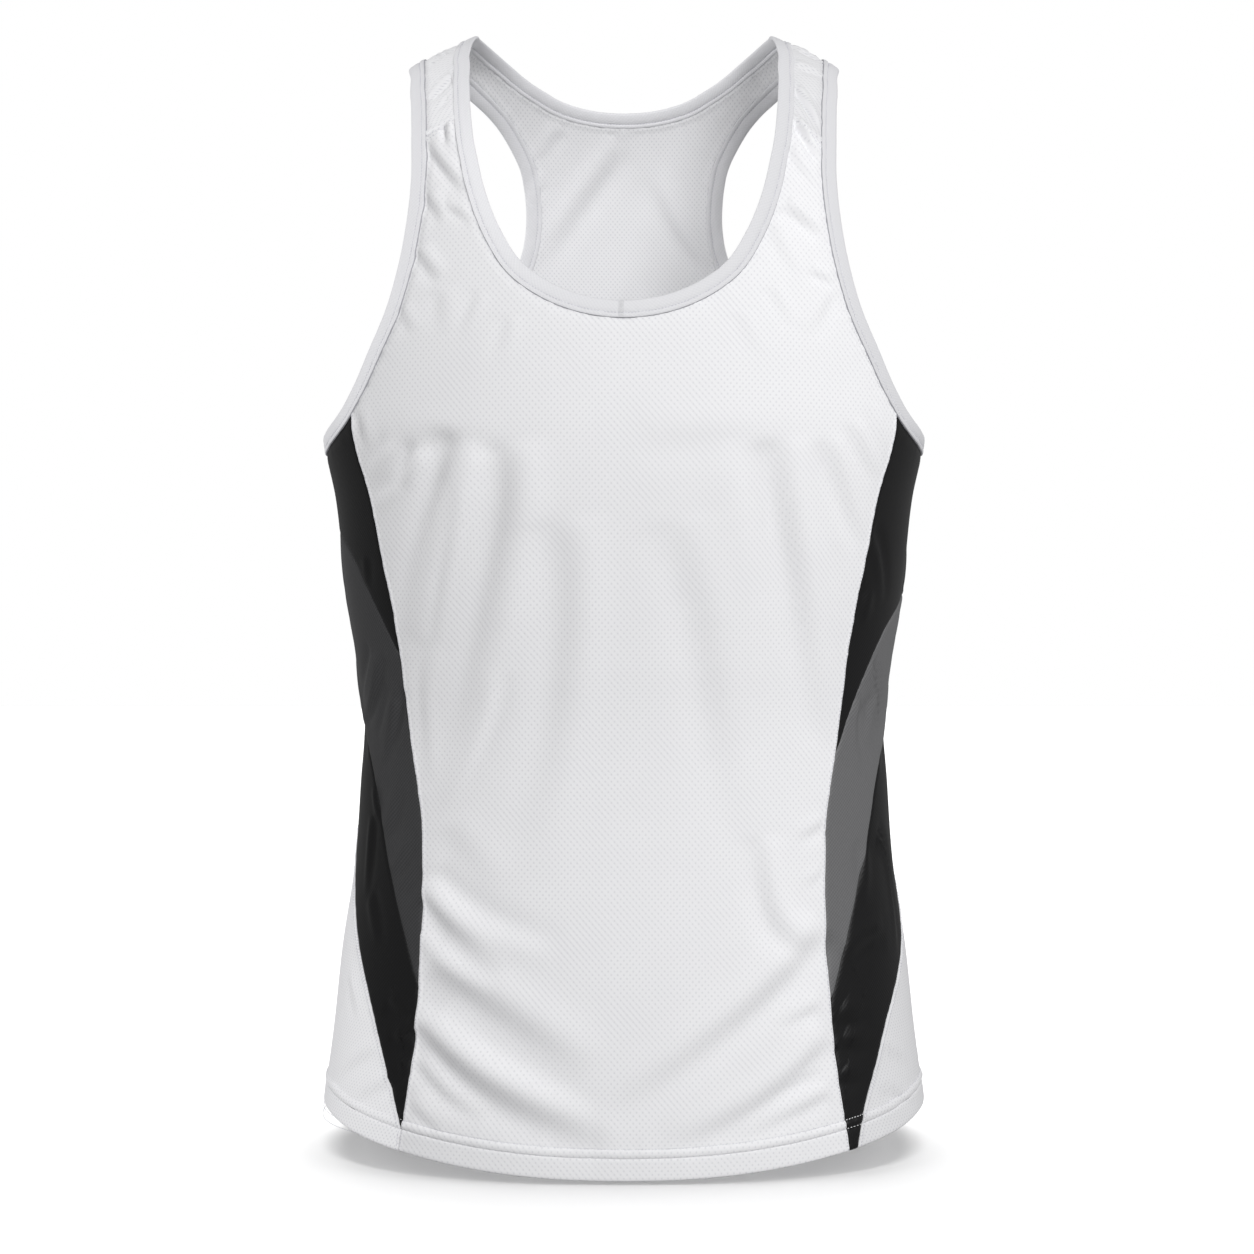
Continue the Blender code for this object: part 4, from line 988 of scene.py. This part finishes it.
def turned_out(piece):
    """Point a closed piece's faces outward."""
    mesh = piece.data
    corners = np.empty(len(mesh.vertices) * 3)
    mesh.vertices.foreach_get("co", corners)
    mesh.calc_loop_triangles()
    points = corners.reshape(-1, 3)
    triangles = np.array([item.vertices[:] for item in mesh.loop_triangles])
    first, second, third = points[triangles[:, 0]], points[triangles[:, 1]], points[triangles[:, 2]]
    if np.sum(first * np.cross(second, third)) < 0:
        mesh.flip_normals()


# pitch, length and radius of one stitch
FINE_STITCH = (0.0020, 0.0012, 0.00024)
SHOULDER_STITCHES = (0.0012, 0.0034)
SIDE_STITCHES = (0.0013,)           # how far the rows lie from their seam
HEM_MARGIN = 0.1                    # degrees left free at the ends of a row over the hem
STITCH_SIDES = 5
# share of the length along, share of the radius
STITCH_RINGS = ((-0.5, 0.30), (-0.32, 0.95), (0.0, 1.0), (0.32, 0.95), (0.5, 0.30))


def stitch_row(middle, normal):
    """Thread stitches along a line of points on the cloth, as one set of points and faces."""
    pitch, length, radius = FINE_STITCH
    run = np.concatenate([[0.0], np.cumsum(np.linalg.norm(np.diff(middle, axis=0), axis=1))])
    count = max(1, int(run[-1] / pitch))
    at = (np.arange(count) + 0.5) * run[-1] / count
    centre = np.stack([np.interp(at, run, middle[:, k]) for k in range(3)], axis=1)
    ahead = np.stack([np.interp(at + 0.0004, run, middle[:, k]) for k in range(3)], axis=1)
    behind = np.stack([np.interp(at - 0.0004, run, middle[:, k]) for k in range(3)], axis=1)
    up = np.stack([np.interp(at, run, normal[:, k]) for k in range(3)], axis=1)
    along = ahead - behind
    along /= np.linalg.norm(along, axis=1, keepdims=True)
    side = np.cross(up, along)
    angles = np.arange(STITCH_SIDES) * 2 * np.pi / STITCH_SIDES
    points = []
    for place, share in STITCH_RINGS:
        for angle in angles:
            out = share * radius * (np.cos(angle) * side + 0.8 * np.sin(angle) * up)
            points.append(centre + along * place * length + out)
    points = np.stack(points, axis=1).reshape(-1, 3)
    return points, stitch_faces(count)


def stitch_faces(count):
    last = (len(STITCH_RINGS) - 1) * STITCH_SIDES
    faces = []
    for stitch in range(count):
        base = stitch * (last + STITCH_SIDES)
        for low in range(base, base + last, STITCH_SIDES):
            high = low + STITCH_SIDES
            for item in range(STITCH_SIDES):
                beyond = (item + 1) % STITCH_SIDES
                faces.append((low + item, low + beyond, high + beyond, high + item))
        faces.append(tuple(base + item for item in range(STITCH_SIDES))[::-1])
        faces.append(tuple(base + last + item for item in range(STITCH_SIDES)))
    return faces


def on_panel(places, lift, ply=PLY):
    """The outer face of the cloth along a line of places, and its outward direction."""
    normal = outward(on_form, places)
    middle = on_form(places) + normal * (fold_lift(places) + lift(places) + ply / 2)[:, None]
    return middle, normal


def stitches(name, rows, material):
    """All the rows of stitches of one seam, as one piece."""
    points, faces = [], []
    offset = 0
    for middle, normal in rows:
        row_points, row_faces = stitch_row(middle, normal)
        points.append(row_points)
        faces += [tuple(v + offset for v in face) for face in row_faces]
        offset += len(row_points)
    return mesh_piece(name, np.concatenate(points), faces, material)


# ---------------------------------------------------------------- materials

# between the eyelets of one row, and between every other row; the rows between are staggered by half
FRONT_EYELETS = (0.0037, 0.0042)
BACK_EYELETS = (0.0031, 0.0035)
WHITE_YARN = (0.86, 0.86, 0.875)
# colour painted into the eyelet holes and grooves: painted shade, bluish grey
WHITE_HOLE_SHADE = (0.50, 0.50, 0.54)
FUZZ_SCALE = {"patches": 28.0, "mesh_fuzz": 900.0, "knit_fuzz": 700.0}


class Nodes:
    """Short hand for building a node tree."""

    def __init__(self, name):
        self.material = bpy.data.materials.new(name)
        self.material.use_nodes = True
        self.tree = self.material.node_tree
        self.shader = self.tree.nodes["Principled BSDF"]

    def add(self, kind, **settings):
        node = self.tree.nodes.new(kind)
        for key, value in settings.items():
            setattr(node, key, value)
        return node

    def link(self, source, target):
        self.tree.links.new(source, target)

    def math(self, operation, first, second=None, third=None, clamp=False):
        node = self.add("ShaderNodeMath", operation=operation, use_clamp=clamp)
        for socket, value in zip(node.inputs, (first, second, third)):
            if value is None:
                continue
            if isinstance(value, (int, float)):
                socket.default_value = value
            else:
                self.link(value, socket)
        return node.outputs[0]

    def mixed(self, share, first, second):
        node = self.add("ShaderNodeMix", data_type="RGBA")
        self.link(share, node.inputs["Factor"])
        node.inputs[6].default_value = (*first, 1.0)
        node.inputs[7].default_value = (*second, 1.0)
        return node.outputs[2]


def cloth_axes(nodes):
    """Flat position of the cloth, in metres, across and up."""
    layer = nodes.add("ShaderNodeUVMap", uv_map="cloth")
    split = nodes.add("ShaderNodeSeparateXYZ")
    nodes.link(layer.outputs["UV"], split.inputs[0])
    return split.outputs["X"], split.outputs["Y"]


def slanting(nodes, across, up, pitch_across, pitch_up):
    """A wave of slanting lines, 1 along each line and 0 half way to the next."""
    turns = nodes.math("MULTIPLY_ADD", across, 1 / pitch_across, nodes.math("MULTIPLY", up, 1 / pitch_up))
    wave = nodes.math("COSINE", nodes.math("MULTIPLY", turns, 2 * np.pi))
    return nodes.math("MULTIPLY_ADD", wave, 0.5, 0.5)


def fuzz(nodes, scale):
    place = nodes.add("ShaderNodeTexCoord")
    noise = nodes.add("ShaderNodeTexNoise")
    noise.inputs["Scale"].default_value = scale
    noise.inputs["Detail"].default_value = 2.0
    nodes.link(place.outputs["Object"], noise.inputs["Vector"])
    return noise.outputs["Fac"]


def bumped(nodes, height, distance, strength):
    bump = nodes.add("ShaderNodeBump")
    bump.inputs["Strength"].default_value = strength
    bump.inputs["Distance"].default_value = distance
    nodes.link(height, bump.inputs["Height"])
    nodes.link(bump.outputs["Normal"], nodes.shader.inputs["Normal"])


def surface(nodes, roughness, sheen, sheen_roughness, specular=0.3):
    nodes.shader.inputs["Roughness"].default_value = roughness
    nodes.shader.inputs["Sheen Weight"].default_value = sheen
    nodes.shader.inputs["Sheen Roughness"].default_value = sheen_roughness
    nodes.shader.inputs["Specular IOR Level"].default_value = specular


def mesh_knit(name, yarn, hole_shade, pitch, strength, grooved):
    """White eyelet mesh: staggered holes, joined by faint slanting grooves between the stitches; holes and
    grooves are bumped in and also painted darker toward the hole colour, as painted shade.
    """
    nodes = Nodes(name)
    across, up = cloth_axes(nodes)
    falling = slanting(nodes, across, up, pitch[0], pitch[1])
    rising = slanting(nodes, across, up, pitch[0], -pitch[1])
    both = nodes.math("MULTIPLY", falling, rising)
    holes = nodes.math("POWER", both, 2.5)
    grooves = nodes.math("POWER", falling, 2.0)
    patches = nodes.math("SUBTRACT", fuzz(nodes, FUZZ_SCALE["patches"]), 0.38, clamp=True)
    patchy = nodes.math("MULTIPLY", patches, 3.0, clamp=True)
    faint = nodes.math("MULTIPLY", nodes.math("MULTIPLY", grooves, patchy), grooved)
    depth = nodes.math("MULTIPLY", nodes.math("MAXIMUM", holes, faint), strength)
    cloud = fuzz(nodes, FUZZ_SCALE["mesh_fuzz"])
    shade = nodes.math("MULTIPLY_ADD", cloud, 0.05, depth, clamp=True)
    # holes and grooves are painted toward the hole colour: painted shade, besides a faint random cloud
    nodes.link(nodes.mixed(shade, yarn, hole_shade), nodes.shader.inputs["Base Color"])
    height = nodes.math("MULTIPLY_ADD", cloud, 0.10, nodes.math("MULTIPLY", depth, -1.0))
    bumped(nodes, height, 0.00025, 0.6)
    surface(nodes, 0.80, 0.12, 0.5)
    return nodes.material


def smooth_knit(name, yarn, groove_shade, roughness, specular):
    """Close knit of the bindings and inserts: fine slanting rows, bumped, with painted shade in the grooves
    between them.
    """
    nodes = Nodes(name)
    across, up = cloth_axes(nodes)
    lines = slanting(nodes, across, up, 0.0022, -0.0024)
    grain = slanting(nodes, across, up, 0.0024, 0.0022)
    cloud = fuzz(nodes, FUZZ_SCALE["knit_fuzz"])
    both = nodes.math("MULTIPLY_ADD", lines, 0.6, nodes.math("MULTIPLY", grain, 0.3))
    shade = nodes.math("MULTIPLY_ADD", cloud, 0.3, nodes.math("MULTIPLY", both, 0.7), clamp=True)
    # between the rows the colour goes to the groove colour: painted shade, mixed with a random cloud
    nodes.link(nodes.mixed(shade, groove_shade, yarn), nodes.shader.inputs["Base Color"])
    bumped(nodes, nodes.math("MULTIPLY_ADD", cloud, 0.2, both), 0.00012, 0.7)
    surface(nodes, roughness, 0.0, 0.45, specular)
    return nodes.material


def plain(name, colour, roughness):
    nodes = Nodes(name)
    nodes.shader.inputs["Base Color"].default_value = (*colour, 1.0)
    nodes.shader.inputs["Roughness"].default_value = roughness
    return nodes.material


# ---------------------------------------------------------------- the pieces


def panel_lift(edges):
    """The relief of one panel, as a function of places on it."""
    def lift(places):
        return relief(places, edges) + hem_relief(places)
    return lift


def half_rows(side, name, distances):
    """Rows of topstitching on a white panel, beside its side seam."""
    lines = seams(side)
    seam = lines["front_seam" if name == "front" else "rear_seam"]
    sign = 1 if name == "front" else -1
    armhole = beside(lines["armhole"], BINDING_WIDTH, closed=True)
    rows = []
    for distance in distances:
        row = beside(seam, sign * distance)
        part = between(row, lines["hem"], armhole)
        rows += to_side([fine(part)], side)
    return rows


def seam_turns(side, above):
    """Where the front and rear seams of a side cross a level above the hem."""
    lines = seams(side)
    turns = []
    for name in ("front_seam", "rear_seam"):
        seam = lines[name]
        rise = seam[:, 1] - hem_height(seam[:, 0])
        order = np.argsort(rise)
        turns.append(np.interp(above, rise[order], seam[order, 0]))
    return turns


def hem_rows(piece):
    """The two rows of stitches over the hem, on the front, the back or the insert of one side."""
    rows = []
    for above in (HEM_DEPTH, HEM_TOP):
        left, right = seam_turns("L", above), seam_turns("R", above)
        ends = {"front": (-left[0], right[0]), "back": (right[1], 360.0 - left[1]),
                "L": (-left[1], -left[0]), "R": (right[0], right[1])}[piece]
        if ends[1] - ends[0] > 4 * HEM_MARGIN:
            count = max(8, int(10 * (ends[1] - ends[0])))
            turns = np.linspace(ends[0] + HEM_MARGIN, ends[1] - HEM_MARGIN, count)
            rows.append(np.stack([turns, hem_height(turns) + above], axis=1))
    return rows


def shoulder_rows(side):
    """The two rows of stitches in front of a shoulder seam."""
    lines = seams(side)
    neck = beside(lines["neck"], -BINDING_WIDTH)
    armhole = beside(lines["armhole"], BINDING_WIDTH, closed=True)
    rows = []
    for distance in SHOULDER_STITCHES:
        row = beside(lines["shoulder"], distance)
        part = between(row, neck, armhole)
        rows += to_side([fine(part)], side)
    return rows


def make_knits():
    """Every material, by the part that it is for."""
    return {
        "front": mesh_knit("white_mesh_knit_front", WHITE_YARN, WHITE_HOLE_SHADE, FRONT_EYELETS, 0.42, 0.45),
        "back": mesh_knit("white_mesh_knit_back", WHITE_YARN, WHITE_HOLE_SHADE, BACK_EYELETS, 0.55, 0.2),
        # The bindings' white is set a little darker than the panels' yarn: painted shade that tones down
        # the light on them.
        # The second colour of each close knit is painted shade in its grooves.
        "bound": smooth_knit("white_binding_knit", (0.81, 0.81, 0.83), (0.74, 0.74, 0.765), 0.7, 0.3),
        "black": smooth_knit("black_knit", (0.008, 0.008, 0.009), (0.003, 0.003, 0.003), 0.50, 0.26),
        # The two greys are one grey knit: the -X copy is set darker as painted shade, the +X copy lighter
        # as painted light from the key on the right.
        "grey_L": smooth_knit("grey_knit_painted_shade_L", (0.062, 0.062, 0.064), (0.026, 0.026, 0.028), 0.55, 0.35),
        "grey_R": smooth_knit("grey_knit_painted_light_R", (0.180, 0.180, 0.184), (0.098, 0.098, 0.101), 0.55, 0.35),
        # The grey thread is the white thread painted darker: painted shade on the stitch rows over white
        # cloth and bindings.
        "shaded_thread": plain("white_thread_painted_shade", (0.62, 0.62, 0.67), 0.6),
        "thread": plain("white_thread", (0.86, 0.86, 0.88), 0.55),
        # The darker edge material is painted shadow along the binding's turned-down inner edge.
        "edge": plain("binding_edge_painted_shadow", (0.40, 0.40, 0.43), 0.8),
    }


def dressed(piece, node):
    """Let a piece stand in for its CAD node, which it hides."""
    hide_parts(node)
    return piece


def white_panel(name, grids_of, knits):
    """The front or the back, and its rows of stitches."""
    lift = panel_lift(panel_edges(name))
    grids = grids_of("R") + to_side(grids_of("L"), "L")
    cloth = dressed(shell(name + "_cloth", grids, lift, knits[name]), name + "_panel")
    rows = half_rows("L", name, SIDE_STITCHES) + half_rows("R", name, SIDE_STITCHES) + hem_rows(name)
    if name == "front":
        rows += shoulder_rows("L") + shoulder_rows("R")
    sewn = [on_panel(row, lift) for row in rows]
    return {name: cloth, name + "_stitches": stitches(name + "_stitches", sewn, knits["shaded_thread"])}


def side_insert(side, knits):
    """The three pieces of one side insert, and the hem stitches on the lowest."""
    made = {}
    for part, node, knit, slot in (("upper", "side_black_upper_", "black", "black_knit"),
                                   # each side takes its own grey: painted shade on -X, painted light on +X
                                   ("grey", "side_grey_", "grey_" + side, "grey_knit"),
                                   ("lower", "side_black_lower_", "black", "black_knit")):
        lift = panel_lift(insert_edges(side, part))
        grids = to_side(insert_grids(side, part), side)
        cloth = shell(node + side + "_cloth", grids, lift, knits[knit])
        made[node + side] = dressed(cloth, node + side)
    name = "hem_stitches_" + side
    sewn = [on_panel(row, lift, PLY + RAISED_THREAD) for row in hem_rows(side)]
    made[name] = stitches(name, sewn, knits["thread"])
    return made


def bound_edge(node, edge, sign, knits):
    piece = binding(node + "_cloth", edge, sign, knits["bound"], knits["edge"])
    return {node: dressed(piece, node)}


def build_pieces():
    """Every piece of the dressed singlet, by its short name."""
    knits = make_knits()
    armhole = drawn(ARMHOLE, closed=True)
    made = white_panel("front", front_grids, knits)
    made.update(white_panel("back", back_grids, knits))
    made.update(side_insert("L", knits))
    made.update(side_insert("R", knits))
    made.update(bound_edge("armhole_binding_L", mirrored(armhole), -1, knits))
    made.update(bound_edge("armhole_binding_R", armhole, 1, knits))
    made.update(bound_edge("neck_binding", whole_neck(), -1, knits))
    made["binding_stitches"] = stitches("binding_stitches", binding_stitch_rows(), knits["shaded_thread"])
    return made


def whole_neck():
    """The neck edge all the way round, as turns from 0 to 360."""
    lines = seams("R")
    neck = lines["neck"]
    half = between(neck, lines["front_centre"], lines["back_centre"])
    other = mirrored(half)[::-1] + np.array([360.0, 0.0])
    return np.concatenate([half, other[1:]])


def binding_stitch_rows():
    rows = []
    armhole = drawn(ARMHOLE, closed=True)
    for edge, sign in ((armhole, 1), (mirrored(armhole), -1), (whole_neck(), -1)):
        line = evened(beside_loop(edge, sign * BINDING_STITCH), 1500)
        normal = outward(on_form, line)
        for out in BINDING_THREADS:
            rows.append((on_form(line) + normal * (fold_lift(line) + out)[:, None], normal))
    return rows


# ---------------------------------------------------------------- camera, light and stage

IMAGE_WIDTH = 0.80256       # metres across the frame at the middle of the body
CAMERA_DISTANCE = 1.5
CAMERA_PLACE = (0.0019, -CAMERA_DISTANCE, -0.370)
FLOOR_LEVEL = -0.6965
SENSOR = 36.0
MIDDLE = (0.0, -0.1, -0.35)
RACERBACK = (0.0, 0.10, -0.10)
BEAM_ANGLE = 4.1            # degrees across, so that it passes between the straps
SKY_ANGLE = 60.0
FLOOR_REACH = 8.0
WHITE_LIGHT = (1.0, 1.0, 1.0, 1.0)
# pieces whose inside is seen
INNER = ("back", "neck_binding", "armhole_binding_L", "armhole_binding_R")


def camera():
    data = bpy.data.cameras.new("camera")
    data.sensor_width = SENSOR
    data.lens = SENSOR * CAMERA_DISTANCE / IMAGE_WIDTH
    thing = bpy.data.objects.new("camera", data)
    thing.location = CAMERA_PLACE
    thing.rotation_euler = (np.pi / 2, 0.0, 0.0)
    bpy.context.scene.collection.objects.link(thing)
    bpy.context.scene.camera = thing


def aimed(thing, place, target):
    thing.location = place
    thing.rotation_euler = (Vector(target) - Vector(place)).to_track_quat("-Z", "Y").to_euler()


def hung(name, data, place, target, lit, shaded_by=None):
    """Put up a light that reaches only one collection, shadowed by one collection if that is given."""
    thing = bpy.data.objects.new(name, data)
    aimed(thing, place, target)
    thing.light_linking.receiver_collection = lit
    if shaded_by is not None:
        thing.light_linking.blocker_collection = shaded_by
    bpy.context.scene.collection.objects.link(thing)
    return thing


def beam(name, place, target, power, lit, shaded_by):
    """A narrow soft-edged light through the neck on to the inside of the racerback."""
    data = bpy.data.lights.new(name, "SPOT")
    data.energy = power
    data.spot_size = BEAM_ANGLE * DEG
    data.spot_blend = 0.5
    data.shadow_soft_size = 0.02
    hung(name, data, place, target, lit, shaded_by)


def lamp(name, place, power, size, lit, shaded_by=None, gloss=True):
    """A round soft light on the middle of the garment."""
    data = bpy.data.lights.new(name, "AREA")
    data.shape = "DISK"
    data.energy = power
    data.size = size
    hung(name, data, place, MIDDLE, lit, shaded_by).visible_glossy = gloss


def sky(name, place, strength, lit, shaded_by=None):
    """Even light from one side of the sky."""
    data = bpy.data.lights.new(name, "SUN")
    data.energy = strength
    data.angle = SKY_ANGLE * DEG
    hung(name, data, place, (0.0, 0.0, 0.0), lit, shaded_by)


def stage(lit):
    """A wide level floor."""
    corners = ((-1, -1), (1, -1), (1, 1), (-1, 1))
    points = [(x * FLOOR_REACH, y * FLOOR_REACH, FLOOR_LEVEL) for x, y in corners]
    mesh = bpy.data.meshes.new("floor")
    mesh.from_pydata(points, [], [(0, 1, 2, 3)])
    mesh.materials.append(plain("pale_floor", (0.95, 0.95, 0.95), 0.9))
    thing = bpy.data.objects.new("floor", mesh)
    thing.visible_diffuse = False
    thing.visible_glossy = False
    lit.objects.link(thing)


def world_light(strength, seen):
    """Even light from all round, and the brighter white that is seen behind the object."""
    world = bpy.data.worlds.new("studio")
    world.use_nodes = True
    tree = world.node_tree
    light = tree.nodes["Background"]
    light.inputs["Color"].default_value = WHITE_LIGHT
    light.inputs["Strength"].default_value = strength
    behind = tree.nodes.new("ShaderNodeBackground")
    behind.inputs["Color"].default_value = WHITE_LIGHT
    behind.inputs["Strength"].default_value = seen
    path = tree.nodes.new("ShaderNodeLightPath")
    choice = tree.nodes.new("ShaderNodeMixShader")
    tree.links.new(path.outputs["Is Camera Ray"], choice.inputs[0])
    tree.links.new(light.outputs[0], choice.inputs[1])
    tree.links.new(behind.outputs[0], choice.inputs[2])
    tree.links.new(choice.outputs[0], tree.nodes["World Output"].inputs["Surface"])
    bpy.context.scene.world = world


def collection(name):
    made = bpy.data.collections.new(name)
    bpy.context.scene.collection.children.link(made)
    return made


def light_garment(garment, outer, inside, nothing):
    """The key from the right, its share for the inside of the back, and soft light from the other sides."""
    lamp("key", (1.00, -2.68, 0.95), 65.0, 1.1, outer)
    lamp("inside_key", (0.90, -2.70, 0.95), 52.0, 1.1, inside, nothing)
    beam("racerback_light", (-0.30, -2.80, 0.20), RACERBACK, 38.0, inside, nothing)
    lamp("rim_left", (-2.60, 0.70, 0.30), 24.0, 1.5, garment, gloss=False)
    lamp("rim_right", (2.60, 0.70, 0.30), 12.0, 1.5, garment, gloss=False)
    sky("low_light", (-0.2, -1.0, -0.6), 0.28, garment)
    sky("inside_light", (-2.2, -0.5, -0.3), 1.00, inside, nothing)


def light_floor(floor):
    """Three broad lights that leave the floor white, with a soft shadow under the hem."""
    sky("floor_light", (0.0, 0.75, 2.0), 2.9, floor)
    sky("floor_left", (-2.0, 0.2, 0.7), 1.4, floor)
    sky("floor_right", (2.0, 0.2, 0.7), 1.4, floor)


def main():
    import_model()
    bpy.context.scene.view_settings.view_transform = "Standard"
    garment = collection("garment")
    set_stage = collection("set_stage")
    inside = collection("inside")
    nothing = collection("nothing")
    outer = collection("outer")
    camera()
    stage(set_stage)
    world_light(0.35, 1.0)
    light_garment(garment, outer, inside, nothing)
    light_floor(set_stage)
    pieces = build_pieces()
    for name, piece in pieces.items():
        garment.objects.link(piece)
        lit_with = inside if name in INNER else outer
        lit_with.objects.link(piece)


main()
